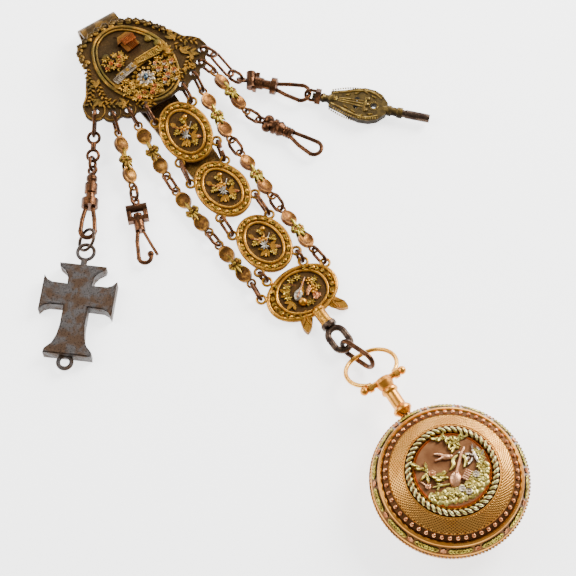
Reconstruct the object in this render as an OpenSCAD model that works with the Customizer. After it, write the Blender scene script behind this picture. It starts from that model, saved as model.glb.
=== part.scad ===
// Chatelaine with a verge watch, laid flat: a pierced plaque on a belt hook, four oval medallions,
// two chains of leaf links, three free chains with swivel hooks, a cross, a watch key and the watch.
// Millimetres, up is +Z, the ground is z = 0. The plaque lies towards +Y and the watch towards -Y.

/* [Plaque] */
// Thickness of the plaque sheet
plaque_thickness = 0.8; // [0.6:0.1:1]
// Height of the middle of the plaque sheet above the ground
plaque_height = 6.4; // [6.2:0.1:6.6]
// Radius of the ring holes along the lower edge
hole_radius = 1.0; // [0.9:0.05:1.1]
// Height of the oval rim around the scene
rim_radius = 0.55; // [0.4:0.05:0.7]

/* [Belt hook] */
// Thickness of the belt hook sheet
hook_sheet = 1.2; // [1:0.1:1.4]

/* [Medallions] */
// Half width of the three upper medallions
medallion_half_width = 7.3; // [7:0.1:7.6]
// Half height of the three upper medallions
medallion_half_height = 9.6; // [9.3:0.1:9.9]
// Thickness of the medallion plate below its ground
medallion_depth = 1.5; // [1.2:0.1:1.6]

/* [Links] */
// Wire radius of the connecting rings
ring_wire = 0.47; // [0.43:0.01:0.5]
// Wire radius of the leaf link eyes
leaf_wire = 0.34; // [0.3:0.01:0.38]
// Wire radius of the medallion eyes
eye_wire = 0.4; // [0.36:0.01:0.43]
// Thickness of the leaf links
leaf_thickness = 1.2; // [1:0.1:1.4]

/* [Swivels] */
// Radius of the turning shanks
shank_radius = 0.8; // [0.75:0.01:0.85]
// Play between a shank and its bore
bore_play = 0.05; // [0.03:0.01:0.08]

/* [Watch] */
// Largest radius of the watch case
case_radius = 20.5; // [20:0.1:21]
// Wall of the watch case
case_wall = 0.7; // [0.5:0.1:0.9]
// Radius of the pin that carries the bow
pin_radius = 0.85; // [0.8:0.01:0.9]

/* [Hidden] */
$fn = 48;

gilt = [0.72, 0.56, 0.26];
old_gilt = [0.52, 0.41, 0.2];
bronze = [0.36, 0.23, 0.15];
rose_gold = [0.82, 0.6, 0.4];
steel = [0.35, 0.35, 0.37];
silver = [0.3, 0.3, 0.3];
enamel = [0.92, 0.91, 0.86];
crystal_clear = [0.8, 0.88, 0.9, 0.4];

// Shift that centres the whole chatelaine over the origin
centre_shift = [3.345, -9.105, 0];

joint_gap = 0.05;
reach = 0.55;
ring_half = 1.5;
eye_radius = 1.2;
bore_radius = shank_radius + bore_play;
head_radius = 1.2;

// Ring holes of the plaque, the radius of the lobe around each one
hole_1 = [-18.4, 78.0];
hole_2 = [-14.7, 75.0];
hole_3 = [-10.3, 73.3];
hole_4 = [-5.6, 72.0];
hole_5 = [7.0, 72.0];
hole_6 = [11.7, 73.4];
hole_7 = [15.3, 75.6];
hole_8 = [18.1, 78.8];
lobe_1 = 3.1;
lobe_2 = 2.9;
lobe_3 = 2.6;
lobe_4 = 2.2;
lobe_5 = 2.0;
lobe_6 = 2.1;
lobe_7 = 2.1;
lobe_8 = 2.1;

// Medallion centres and tilts
centre_1 = [-0.1, 58.9, 4.8];
tilt_1 = [10, -9, -4];
centre_2 = [-0.9, 38.6, 2.8];
tilt_2 = [0, 0, 4.5];
centre_3 = [-0.5, 18.1, 2.2];
tilt_3 = [-2, 0, -1];
centre_4 = [0, 0, 1.3];
eye_x = 6.1;
eye_y = 6.9;

// Meeting points of the two side chains
left_1 = [-10.2, 68.9, 4.5];
left_2 = [-11.7, 50.8, 2.0];
left_3 = [-12.0, 46.3, 1.9];
left_4 = [-11.3, 29.1, 1.8];
left_5 = [-11.2, 25.3, 1.8];
left_6 = [-10.2, 9.3, 2.0];
right_1 = [11.4, 68.4, 4.5];
right_2 = [9.9, 50.6, 2.0];
right_3 = [9.9, 46.4, 1.9];
right_4 = [9.6, 29.0, 1.8];
right_5 = [9.5, 25.0, 1.8];
right_6 = [9.8, 8.5, 2.0];

// Meeting points of the free chains
first_1 = [-22.1, 73.2, 4.3];
first_2 = [-26.2, 67.4, 2.5];
first_3 = [-27.9, 64.9, 2.5];
second_1 = [-16.1, 70, 4.6];
second_2 = [-21.5, 53.3, 2.0];
second_3 = [-22.85, 50.25, 1.8];
seventh_1 = [17.4, 71.7, 4.7];
seventh_2 = [18.7, 55.8, 2.4];
seventh_3 = [20.22, 52.09, 2.4];
eighth_1 = [20.6, 76.3, 4.7];
eighth_2 = [21.8, 69.4, 2.4];
eighth_3 = [23.2, 66.3, 2.4];

// Collars of the four swivel hooks and the way their axes point
base_1 = [-34.26, 55.7, 2.5];
way_1 = -125.3;
base_2 = [-26.3, 42.2, 1.8];
way_2 = -112.8;
base_7 = [24.86, 43.4, 2.4];
way_7 = -61.8;
base_8 = [29.96, 58.8, 2.5];
way_8 = -47.3;
key_base = [39.58, 47.6, 2.5];
key_way = -47;

// Cross, watch hook and watch
cross_centre = [-51.9, 32.7, 0];
cross_way = -130.7;
socket_height = 2.9;
watch_pin = [1.45, -35.6, 8];
watch_turn = -3;
case_middle = -31.94;
bow_tilt = 25;

function flat_turn(a, b) = atan2(b[1] - a[1], b[0] - a[0]);
function rise(a, b) = asin((b[2] - a[2]) / norm(b - a));
function unit(v) = v / norm(v);
function turn_x(v, t) = [v[0], v[1] * cos(t) - v[2] * sin(t), v[1] * sin(t) + v[2] * cos(t)];
function turn_y(v, t) = [v[0] * cos(t) + v[2] * sin(t), v[1], v[2] * cos(t) - v[0] * sin(t)];
function turn_z(v, t) = [v[0] * cos(t) - v[1] * sin(t), v[0] * sin(t) + v[1] * cos(t), v[2]];
function turned_by(v, t) = turn_z(turn_y(turn_x(v, t[0]), t[1]), t[2]);
function oval_points(a, b, n) = [for (i = [0 : n - 1]) [a * cos(360 * i / n), b * sin(360 * i / n)]];
function side_radius(a, b, e) = (a * a + (b - e) * (b - e) - e * e) / (2 * (a - e));
function side_turn(a, b, e) = atan2(b - e, side_radius(a, b, e) - a);

// Point on a medallion, then the meeting points above and below an eye
function on_medallion(centre, tilt, x, y) = centre + turned_by([x, y, 0], tilt);
function above(point) = point + [0, eye_radius - reach, 0.1];
function below(point) = point - [0, eye_radius - reach, 0.1];

// First meeting point of a ring that hangs in a plaque hole and runs to a given point
function web_middle(hole, lobe, to) =
    let (way = unit([to[0] - hole[0], to[1] - hole[1]]), mid = (hole_radius + lobe) / 2)
    [hole[0] + mid * way[0], hole[1] + mid * way[1], plaque_height];
function hole_start(hole, lobe, to) =
    let (web = web_middle(hole, lobe, to), way = unit(to - web),
        back = ((hole_radius + lobe) / 2 - 0.1) / norm([way[0], way[1]]))
    web - way * (back - reach);

module on_ground() {
    translate(centre_shift) children();
}

module at(point, turn = 0, up = 0, roll = 0) {
    translate(point)
        rotate([0, 0, turn])
            rotate([0, -up, 0])
                rotate([roll, 0, 0])
                    children();
}

module between(a, b, roll = 0) {
    at((a + b) / 2, flat_turn(a, b), rise(a, b), roll) children();
}

module rod(a, b, r) {
    between(a, b) rotate([0, 90, 0]) cylinder(r = r, h = norm(b - a), center = true);
}

// Straight wire with a ball at each end
module wire(points, r) {
    rod(points[0], points[1], r);
    for (point = points)
        translate(point) sphere(r = 1.09 * r);
}

// Leg of a hook through a row of points; the ball at each bend has its axis along the wire
module leg(points, r) {
    for (i = [0 : len(points) - 2])
        rod(points[i], points[i + 1], r);
    for (i = [1 : len(points) - 2])
        at(points[i], flat_turn(points[i - 1], points[i + 1]), 0, 0)
            rotate([0, 90, 0]) sphere(r = 1.09 * r);
}

// Low round boss on a plate, one wide and somewhat less high for r = 1
module boss(r) {
    rotate_extrude()
        polygon([[0, -0.5], [r, -0.5], [r, 0.1 * r], [0.88 * r, 0.42 * r], [0.6 * r, 0.66 * r],
            [0, 0.78 * r]]);
}

module torus(radius, r) {
    rotate_extrude() translate([radius, 0]) circle(r = r);
}

// Thin sleeve over a joint between an arc and its neighbour
module collar(r, width = 0.3) {
    rotate([0, 90, 0]) cylinder(r = r + joint_gap / 2, h = width, center = true);
}

// Oval ring lying along X, sizes along the middle of the wire, with a sleeve over each joint
module oval_ring(length, width, r) {
    half = width / 2;
    straight = length - width;
    for (side = [0, 180])
        rotate([0, 0, side]) {
            translate([straight / 2, 0, 0])
                rotate([0, 0, -90])
                    rotate_extrude(angle = 180) translate([half, 0]) circle(r = r);
            translate([0, half, 0])
                rotate([0, 90, 0])
                    cylinder(r = r, h = straight - 2 * joint_gap, center = true);
            for (x = [-straight / 2, straight / 2])
                translate([x, half, 0]) collar(r);
        }
}

// Half round end of a wire loop, with a sleeve where each leg meets it
module hook_end(radius, r, sleeve = 0.3, back = 0) {
    rotate([0, 0, -90]) rotate_extrude(angle = 180) translate([radius, 0]) circle(r = r);
    for (y = [-radius, radius])
        translate([-back, y, 0]) collar(r + joint_gap, sleeve);
}

// Body turned about X from rows of [radius, place along X]
module turned(points) {
    rotate([0, 90, 0]) rotate_extrude() polygon(points);
}

// Round rim around an oval made of four arcs, with a sleeve over each joint; b is the longer half
module oval_rim(a, b, e, r) {
    side = side_radius(a, b, e);
    turn = side_turn(a, b, e);
    trim = 0.3;
    for (half = [0, 180])
        rotate([0, 0, half]) {
            translate([a - side, 0, 0])
                rotate([0, 0, trim - turn])
                    rotate_extrude(angle = 2 * (turn - trim)) translate([side, 0]) circle(r = r);
            translate([0, b - e, 0])
                rotate([0, 0, turn])
                    rotate_extrude(angle = 180 - 2 * turn) translate([e, 0]) circle(r = r);
            for (end = [turn, 180 - turn])
                translate([e * cos(end), b - e + e * sin(end), 0]) rotate([0, 0, end + 90]) collar(r);
        }
}

// Pointed leaf along X
module leaf(length, width, thickness) {
    radius = (length * length / 4 + width * width / 4) / width;
    intersection() {
        translate([0, radius - width / 2, 0]) cylinder(r = radius, h = thickness, center = true);
        translate([0, width / 2 - radius, 0]) cylinder(r = radius, h = thickness, center = true);
    }
}

// Flower of round petals about a middle berry
module flower(petals, radius, petal, middle) {
    for (i = [0 : petals - 1])
        rotate([0, 0, 360 * i / petals]) translate([radius, 0, 0]) sphere(r = petal);
    sphere(r = middle);
}

module leaf_link(a, b, roll) {
    length = norm(b - a) + 2 * reach;
    eye_place = length / 2 - 1.1;
    lobe_length = 5.5;
    lobe_place = eye_place - 0.85 - lobe_length / 2;
    between(a, b, roll) {
        for (side = [0, 180])
            rotate([0, 0, side]) {
                translate([eye_place, 0, 0]) torus(1.1, leaf_wire);
                difference() {
                    translate([lobe_place, 0, 0]) leaf(lobe_length, 4.2, leaf_thickness);
                    translate([lobe_place, 0, 5.1]) sphere(r = 4.9);
                    translate([lobe_place, 0, -5.1]) sphere(r = 4.9);
                }
            }
        rotate([90, 0, 0]) cylinder(r = 0.85, h = 2.6, center = true);
        rotate([0, 90, 0]) cylinder(r = 0.7, h = 2 * (lobe_place - 1.9), center = true);
        for (y = [-1.2, 1.2])
            translate([0, y, 0]) sphere(r = 0.95);
    }
}

module chain_ring(a, b, roll, half = ring_half) {
    length = norm(b - a) + 2 * reach;
    between(a, b, roll) oval_ring(length, 2 * half, ring_wire);
}

module belt_hook() {
    color(old_gilt) on_ground() {
        bend_out = (plaque_height - plaque_thickness / 2 - 0.04) / 2;
        bend_in = bend_out - hook_sheet;
        bend_y = 106.2 - bend_out;
        inset = 0.03;
        translate([-1.9, bend_y, bend_out])
            rotate([90, 0, 90])
                linear_extrude(12, center = true)
                    difference() {
                        circle(r = bend_out);
                        circle(r = bend_in);
                        translate([-9, -9]) square([9, 18]);
                    }
        translate([-7.9, 84, 2 * bend_out - hook_sheet + inset])
            cube([12, bend_y - 83.8, hook_sheet - 2 * inset]);
        translate([0, 0, inset]) linear_extrude(hook_sheet - 2 * inset)
            polygon([[-7.9, bend_y + 0.2], [4.1, bend_y + 0.2], [5, 74], [4.5, 50],
                [3.8, 44.5], [1.4, 41], [-2, 40.5], [-4.8, 43], [-5.6, 48], [-5.7, 56], [-6.2, 71]]);
    }
}

module plaque_outline() {
    polygon([[-9.3, 99.4], [-11.1, 99.3], [-13, 96.1], [-12.7, 92.6], [-14.2, 89.9], [-17, 85.7],
        [-18.1, 83.6], [-20.6, 81.7], [-21.3, 79.3], [-17.3, 74.6], [-13.2, 72.4], [-8.4, 71.2],
        [-5.2, 70.2], [2.3, 70.2], [3.7, 70.7], [9.1, 71.3], [13.7, 73.1], [17.4, 75.9], [19.2, 77.6],
        [20.1, 79.5], [19.8, 82.3], [17.8, 84.6], [16, 85.6], [14.8, 88.5], [13.1, 90.7],
        [10.9, 94.5], [8.7, 97.5], [6.2, 99.1], [3, 100.5], [-1.9, 101.3], [-6, 100.9]]);
    translate(hole_1) circle(r = lobe_1);
    translate(hole_2) circle(r = lobe_2);
    translate(hole_3) circle(r = lobe_3);
    translate(hole_4) circle(r = lobe_4);
    translate(hole_5) circle(r = lobe_5);
    translate(hole_6) circle(r = lobe_6);
    translate(hole_7) circle(r = lobe_7);
    translate(hole_8) circle(r = lobe_8);
}

// Landscape inside the oval: bridge, house, flower and foliage
module landscape() {
    between([-7.2, 83.4, 0.5], [7.6, 85.4, 0.5]) cube([15, 2.2, 1.4], center = true);
    for (i = [0 : 6])
        translate([-6 + 2.1 * i, 83.6 + 0.28 * i, 1.1]) cylinder(r = 0.55, h = 0.6);
    translate([1.6, 91.4, 0.4]) rotate([0, 0, 8]) cube([4.6, 3.4, 1.2], center = true);
    translate([1.3, 93.3, 0])
        rotate([0, 0, 8])
            linear_extrude(1.3) polygon([[-3, 0], [3, 0], [1.6, 2], [-1.6, 2]]);
    translate([-1.1, 78.6, 0.5]) flower(9, 2.3, 0.95, 1.25);
    for (spot = [[-2.6, 73.6], [0.6, 73.2], [3.6, 74.4], [6.2, 76.8], [7.8, 79.8], [8.6, 83],
        [-5.6, 75.4], [-7.6, 78.2], [-8.8, 81.4], [5, 80], [-5.4, 79.6], [8.6, 87.6], [7, 90.4],
        [-7.6, 88], [-6.6, 91.6], [-3.6, 89]])
        translate([spot[0], spot[1], 0]) boss(1.25);
}

module spray(turn) {
    rotate([0, 0, turn]) {
        translate([1.5, 0, 0]) leaf(3, 1.1, 1);
        rotate([0, 0, 48]) translate([1.3, 0, 0]) leaf(2.4, 0.9, 1);
        rotate([0, 0, -48]) translate([1.3, 0, 0]) leaf(2.4, 0.9, 1);
    }
}

module plaque() {
    top = plaque_height + plaque_thickness / 2;
    color(gilt) on_ground() difference() {
        union() {
            translate([0, 0, plaque_height - plaque_thickness / 2])
                linear_extrude(plaque_thickness) plaque_outline();
            translate([-0.45, 85.2, top + 0.15])
                rotate([0, 0, 11.3]) {
                    oval_rim(10.5, 14.4, 8.2, rim_radius);
                    translate([0, 0, 0.15]) oval_rim(9.4, 13.3, 7.2, 0.35);
                }
            translate([0, 0, top]) landscape();
            translate([-13.6, 84.6, top]) spray(100);
            translate([-15.4, 80.4, top]) spray(200);
            translate([12.6, 80.6, top]) spray(20);
            translate([12.8, 86.2, top]) spray(75);
            translate([14.2, 79.4, top]) spray(-40);
            translate([-9.6, 75.4, top]) spray(160);
            for (spot = [[-11.6, 97.9], [-12.4, 95.6], [-12, 93.2], [-9.8, 98.7], [-7.4, 99.6],
                [-4.8, 100.4], [-2.2, 100.6], [0.4, 100.2], [3, 99.6], [5.4, 98.6], [7.6, 97],
                [9.3, 95], [10.9, 92.9], [12.5, 91.2], [13.6, 88.9]])
                translate([spot[0], spot[1], top]) boss(0.95);
        }
        for (hole = [hole_1, hole_2, hole_3, hole_4, hole_5, hole_6, hole_7, hole_8])
            translate([hole[0], hole[1], plaque_height - 3]) cylinder(r = hole_radius, h = 6);
    }
}

// Border, garland and eyes shared by the three upper medallions
module medallion_body() {
    a = medallion_half_width;
    b = medallion_half_height;
    translate([0, 0, -medallion_depth + 0.2])
        linear_extrude(medallion_depth) polygon(oval_points(a - 0.42, b - 0.42, 60));
    translate([0, 0, 0.1]) oval_rim(a - 0.5, b - 0.5, 5.4, 0.5);
    translate([0, 0, 0.4]) oval_rim(4.9, 6.8, 3.8, 0.42);
    for (i = [0 : 19])
        translate([6.05 * cos(18 * i), 8.15 * sin(18 * i), 0.25]) sphere(r = 0.62);
    for (x = [-eye_x, eye_x])
        for (y = [-eye_y, eye_y])
            translate([x, y, 0]) torus(eye_radius, eye_wire);
}

// Torch crossed by an arrow under a flower
module trophy() {
    wire([[-1.9, -3.8, 0.3], [1.7, 3.4, 0.3]], 0.34);
    wire([[2, -3.2, 0.3], [-2, 3.2, 0.3]], 0.26);
    translate([1.9, 3.9, 0.3]) sphere(r = 0.85);
    translate([-2.1, 3.5, 0.3]) rotate([0, 0, 122]) leaf(1.8, 1.1, 0.9);
    translate([0, 0.6, 0.45]) flower(6, 1.05, 0.56, 0.66);
    translate([-0.4, -2.2, 0.25]) spray(200);
    translate([0.6, -2, 0.25]) spray(-30);
}

module medallion_1() {
    color(gilt) on_ground() translate(centre_1) rotate(tilt_1) {
        medallion_body();
        trophy();
    }
}

module medallion_2() {
    color(gilt) on_ground() translate(centre_2) rotate(tilt_2) {
        medallion_body();
        trophy();
    }
}

module medallion_3() {
    color(gilt) on_ground() translate(centre_3) rotate(tilt_3) {
        medallion_body();
        trophy();
    }
}

// Lowest medallion: wider than high, a lute on its ground and a socket for the watch hook below
module medallion_4() {
    ears = [[-6.3, 8.0], [5.4, 7.6], [-10.6, 4.4], [10.25, 3.9]];
    color(gilt) on_ground() {
        translate(centre_4) {
            translate([0, 0, -1.3])
                linear_extrude(1.5) polygon(oval_points(10.2, 7.4, 60));
            rotate([0, 0, 90]) {
                translate([0, 0, 0.2]) oval_rim(7.3, 10.1, 5.8, 0.6);
                translate([0, 0, 0.4]) oval_rim(6.2, 7.3, 5.7, 0.42);
            }
            for (side = [0, 180])
                for (turn = [-40 : 20 : 40])
                    rotate([0, 0, side]) translate([8.8 * cos(turn), 7 * sin(turn), 0.3]) sphere(r = 0.66);
            for (ear = ears)
                translate([ear[0], ear[1], 0.4]) torus(eye_radius, eye_wire);
            between([-2.6, -4.2, 0.4], [1.4, 2.2, 0.4]) {
                translate([-1.9, 0, 0]) sphere(r = 1.3);
                translate([2.2, 0, 0]) cube([4.2, 0.6, 0.6], center = true);
            }
            translate([2.9, -0.8, 0.4]) flower(6, 1, 0.56, 0.64);
            translate([3.4, 1.8, 0.3]) flower(5, 0.8, 0.42, 0.5);
            translate([-3.4, 1.4, 0.2]) spray(120);
            translate([-3.8, -1.2, 0.2]) spray(200);
        }
        translate([-4.3, -8.6, 1.2]) rotate([0, 0, -118]) leaf(5.6, 2.8, 1.6);
        translate([6.4, -8.4, 1.2]) rotate([0, 0, -58]) leaf(5.6, 2.8, 1.6);
        translate([0.1, 0, socket_height])
            rotate([0, 0, -90])
                turned([[0, 6.4], [1.2, 6.4], [1.85, 7.2], [1.85, 7.8], [1.65, 8.1], [1.65, 11.4],
                    [1.9, 11.6], [1.9, 12.05], [bore_radius, 12.05], [bore_radius, 10.6],
                    [head_radius + 0.1, 10.6], [head_radius + 0.1, 8.9], [0, 8.9]]);
    }
}

module ring_1() {
    color(bronze) on_ground() chain_ring(hole_start(hole_1, lobe_1, first_1), first_1, 90);
}

module figure_eight_link() {
    length = norm(first_2 - first_1) + 2 * reach;
    color(bronze) on_ground() between(first_1, first_2, 0) {
        for (x = [1.6 - length / 2, length / 2 - 1.6])
            translate([x, 0, 0]) torus(1.6, ring_wire);
        rotate([0, 90, 0]) cylinder(r = 0.8, h = length - 6.2, center = true);
    }
}

module ring_1_lower() {
    color(bronze) on_ground() chain_ring(first_2, first_3, -66);
}

module swivel_1() {
    color(bronze) on_ground() at(base_1, way_1) {
        translate([-10.6, 0, 0]) rotate([20, 0, 0]) torus(1.2, 0.42);
        turned([[0, -9.6], [0.8, -9.6], [1, -9.2], [1.55, -8.4], [1.55, -7.4], [1.2, -6.7],
            [1.2, -6.4], [1.83, -6.1], [1.83, -3.3], [1.33, -2.9], [1.33, -1.3], [bore_radius, -1.3],
            [bore_radius, -3.9], [head_radius + 0.1, -3.9], [head_radius + 0.1, -5], [0, -5]]);
    }
}

// Shank with its head, a collar and a loop of wire that hangs beyond it
module hook_shank(collar, from, to) {
    turned([[0, -4.9], [head_radius, -4.9], [head_radius, -4], [shank_radius, -4],
        [shank_radius, from - 0.01], [collar, from], [collar, to], [0, to]]);
}

module hook_1() {
    color(bronze) on_ground() at(base_1, way_1) {
        hook_shank(2.4, -1.2, 1.2);
        leg([[0.8, 0.85, 0], [5, 1.6, 0], [8.6, 2, 0]], 0.65);
        leg([[0.8, -0.9, 0], [5, -1.75, 0], [8.6, -2, 0]], 0.65);
        translate([8.7, 0, 0]) hook_end(2, 0.65, 0.44, 0.05);
    }
}

module steel_ring() {
    color(steel) on_ground() at(base_1, way_1)
        translate([11.5, 0, 0.15]) rotate([44, 0, 0]) torus(3.1, 0.46);
}

function cross_side(i) = [[-9.4 + i, 6.5 - 1.6 * i], [-8.4 + i / 2, 6.3 - 1.6 * i],
    [-7.2 + i / 4, 4.6 - i], [-5.8, 3.6 - i], [-3.3 + i, 3.4 - i], [-3.4 + i, 7.6 - i / 2],
    [-4 + i, 9 - i / 2], [-5.3 + 1.6 * i, 10.1 - i], [5.3 - 1.6 * i, 10.1 - i], [4 - i, 9 - i / 2],
    [3.4 - i, 7.6 - i / 2], [3.3 - i, 3.4 - i], [9, 3.4 - i], [12, 3.8 - i], [14.4 - i / 4, 4.7 - i],
    [16.3 - i / 2, 6.5 - 1.6 * i], [17.6 - i, 6.7 - 1.6 * i]];

function cross_points(i) = let (side = cross_side(i), last = len(side) - 1)
    concat(side, [for (k = [0 : last]) [side[last - k][0], -side[last - k][1]]]);

module cross() {
    color(silver) on_ground() at(cross_centre, cross_way) {
        difference() {
            union() {
                linear_extrude(3.6) polygon(cross_points(0));
                linear_extrude(3.9) polygon(cross_points(0.35));
            }
            translate([0, 0, 3.65])
                linear_extrude(1)
                    difference() {
                        polygon(cross_points(0.95));
                        polygon(cross_points(1.3));
                    }
            for (turn = [0 : 90 : 270])
                rotate([0, 0, turn + 45]) translate([2.1, 0, 3.9]) torus(2, 0.2);
        }
        translate([-13.7, -0.15, 2.6]) torus(2.3, 0.5);
        translate([-11.3, -0.15, 2.6]) rotate([0, 90, 0]) cylinder(r = 0.9, h = 2.4);
        translate([19.2, -0.4, 2]) torus(1.8, 0.6);
    }
}

module ring_2() {
    color(bronze) on_ground() chain_ring(hole_start(hole_2, lobe_2, second_1), second_1, 78);
}

module leaf_link_2() {
    color(old_gilt) on_ground() leaf_link(second_1, second_2, -35);
}

module ring_2_lower() {
    color(bronze) on_ground() chain_ring(second_2, second_3, 52);
}

module swivel_2() {
    color(bronze) on_ground() at(base_2, way_2) {
        translate([-8.1, 0, 0]) rotate([-40, 0, 0]) torus(1.2, 0.42);
        translate([-5.7, 0, 0]) rotate([90, 0, 0]) cylinder(r = 1.2, h = 6, center = true);
        translate([-7, 0, 0]) rotate([0, 90, 0]) cylinder(r = 0.6, h = 1);
        for (y = [-2.3, 2.3])
            translate([-4.1, y, 0]) rotate([0, 90, 0]) cylinder(r = 0.75, h = 3.2, center = true);
        difference() {
            translate([-2.1, 0, 0]) cube([1.4, 6, 2.2], center = true);
            translate([-4, 0, 0]) rotate([0, 90, 0]) cylinder(r = bore_radius, h = 4);
        }
    }
}

module hook_2() {
    color(bronze) on_ground() at(base_2, way_2) {
        turned([[0, -3.7], [head_radius, -3.7], [head_radius, -2.9], [shank_radius, -2.9],
            [shank_radius, -1.35], [1.5, -1.3], [1.5, 1.7], [0, 1.7]]);
        leg([[1.2, -0.65, 0], [4.6, -1.4, 0], [9.75, -1.75, 0]], 0.6);
        translate([9.9, -0.05, 0]) hook_end(1.7, 0.6);
        translate([9.2, 1.65, 0]) rotate([0, 90, 0]) sphere(r = 0.95);
        leg([[1.2, 0.6, 0], [5.8, 2.1, 0], [9.8, 3.5, 0]], 0.45);
    }
}

module ring_3() {
    color(bronze) on_ground() chain_ring(hole_start(hole_3, lobe_3, left_1), left_1, 96);
}

module leaf_link_3a() {
    color(old_gilt) on_ground() leaf_link(left_1, left_2, 20);
}

module ring_3a() {
    color(bronze) on_ground() chain_ring(left_2, left_3, -45);
}

module leaf_link_3b() {
    color(old_gilt) on_ground() leaf_link(left_3, left_4, 20);
}

module ring_3b() {
    color(bronze) on_ground() chain_ring(left_4, left_5, -45);
}

module leaf_link_3c() {
    color(old_gilt) on_ground() leaf_link(left_5, left_6, 20);
}

module ring_3c() {
    color(bronze) on_ground() chain_ring(left_6, above(centre_4 + [-10.6, 4.4, 0.3]), -68, 1.3);
}

module ring_4() {
    eye = above(on_medallion(centre_1, tilt_1, -eye_x, eye_y));
    color(bronze) on_ground() chain_ring(hole_start(hole_4, lobe_4, eye), eye, 90);
}

module ring_5() {
    eye = above(on_medallion(centre_1, tilt_1, eye_x, eye_y));
    color(bronze) on_ground() chain_ring(hole_start(hole_5, lobe_5, eye), eye, 84);
}

module ring_12_left() {
    color(bronze) on_ground()
        chain_ring(below(on_medallion(centre_1, tilt_1, -eye_x, -eye_y)),
            above(on_medallion(centre_2, tilt_2, -eye_x, eye_y)), 90);
}

// Right ring between the upper medallions, sprung open at its outer side
module ring_12_right() {
    color(bronze) on_ground()
        difference() {
            chain_ring(below(on_medallion(centre_1, tilt_1, eye_x, -eye_y)),
                above(on_medallion(centre_2, tilt_2, eye_x, eye_y)), 84);
            translate([5.4, 48.4, 6]) cube([1.6, 0.9, 6], center = true);
        }
}

module ring_23_left() {
    color(bronze) on_ground()
        chain_ring(below(on_medallion(centre_2, tilt_2, -eye_x, -eye_y)),
            above(on_medallion(centre_3, tilt_3, -eye_x, eye_y)), 74);
}

module ring_23_right() {
    color(bronze) on_ground()
        chain_ring(below(on_medallion(centre_2, tilt_2, eye_x, -eye_y)),
            above(on_medallion(centre_3, tilt_3, eye_x, eye_y)), 90);
}

module ring_34_left() {
    color(bronze) on_ground()
        chain_ring(below(on_medallion(centre_3, tilt_3, -eye_x, -eye_y)),
            above(centre_4 + [-6.3, 8.0, 0.3]), 84);
}

module ring_34_right() {
    color(bronze) on_ground()
        chain_ring(below(on_medallion(centre_3, tilt_3, eye_x, -eye_y)),
            above(centre_4 + [5.4, 7.6, 0.3]), 82);
}

module ring_6() {
    color(bronze) on_ground() chain_ring(hole_start(hole_6, lobe_6, right_1), right_1, 82);
}

module leaf_link_6a() {
    color(gilt) on_ground() leaf_link(right_1, right_2, -20);
}

module ring_6a() {
    color(bronze) on_ground() chain_ring(right_2, right_3, 45);
}

module leaf_link_6b() {
    color(gilt) on_ground() leaf_link(right_3, right_4, -20);
}

module ring_6b() {
    color(bronze) on_ground() chain_ring(right_4, right_5, 45);
}

module leaf_link_6c() {
    color(gilt) on_ground() leaf_link(right_5, right_6, -20);
}

module ring_6c() {
    color(bronze) on_ground() chain_ring(right_6, above(centre_4 + [10.25, 3.9, 0.3]), 68, 1.3);
}

module ring_7() {
    color(bronze) on_ground() chain_ring(hole_start(hole_7, lobe_7, seventh_1), seventh_1, 84);
}

module leaf_link_7() {
    color(gilt) on_ground() leaf_link(seventh_1, seventh_2, -30);
}

module ring_7_lower() {
    color(bronze) on_ground() chain_ring(seventh_2, seventh_3, 66);
}

module swivel_7() {
    color(bronze) on_ground() at(base_7, way_7) {
        translate([-9.3, 0, 0]) rotate([-20, 0, 0]) torus(1.2, 0.42);
        translate([-7, 1.1, 0]) rotate([0, 0, 90]) sphere(r = 1.58);
        translate([-6.65, -1.3, 0]) rotate([0, 0, -90]) sphere(r = 1.5);
        turned([[0, -6.4], [1.3, -6.4], [1.5, -5.2], [2.3, -5], [2.3, -4.2], [1.9, -3.8], [2.3, -2.9],
            [1.6, -1.6], [bore_radius, -1.6], [bore_radius, -3.9], [head_radius + 0.1, -3.9],
            [head_radius + 0.1, -5.02], [0, -5.02]]);
    }
}

module hook_7() {
    color(bronze) on_ground() at(base_7, way_7) {
        turned([[0, -4.9], [head_radius, -4.9], [head_radius, -4], [shank_radius, -4],
            [shank_radius, -1.51], [1.5, -1.5], [1.5, 1.2], [0, 1.2]]);
        for (x = [-1.1, -0.3, 0.5])
            translate([x, 0, 0]) rotate([0, 90, 0]) torus(1.35, 0.35);
        leg([[0.6, 0.75, 0], [4.8, 1.05, 0], [8.5, 1.2, 0]], 0.6);
        leg([[0.6, -0.8, 0], [4.4, -2.3, 0], [8.5, -3.2, 0]], 0.6);
        translate([8.5, -1, 0]) hook_end(2.2, 0.6);
    }
}

module ring_8() {
    color(bronze) on_ground() chain_ring(hole_start(hole_8, lobe_8, eighth_1), eighth_1, 88);
}

module long_link_8() {
    length = norm(eighth_2 - eighth_1) + 2 * reach + 0.3;
    color(bronze) on_ground() between(eighth_1, eighth_2, -25) oval_ring(length, 3, 0.42);
}

module ring_8_lower() {
    color(bronze) on_ground() chain_ring(eighth_2, eighth_3, 58);
}

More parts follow.
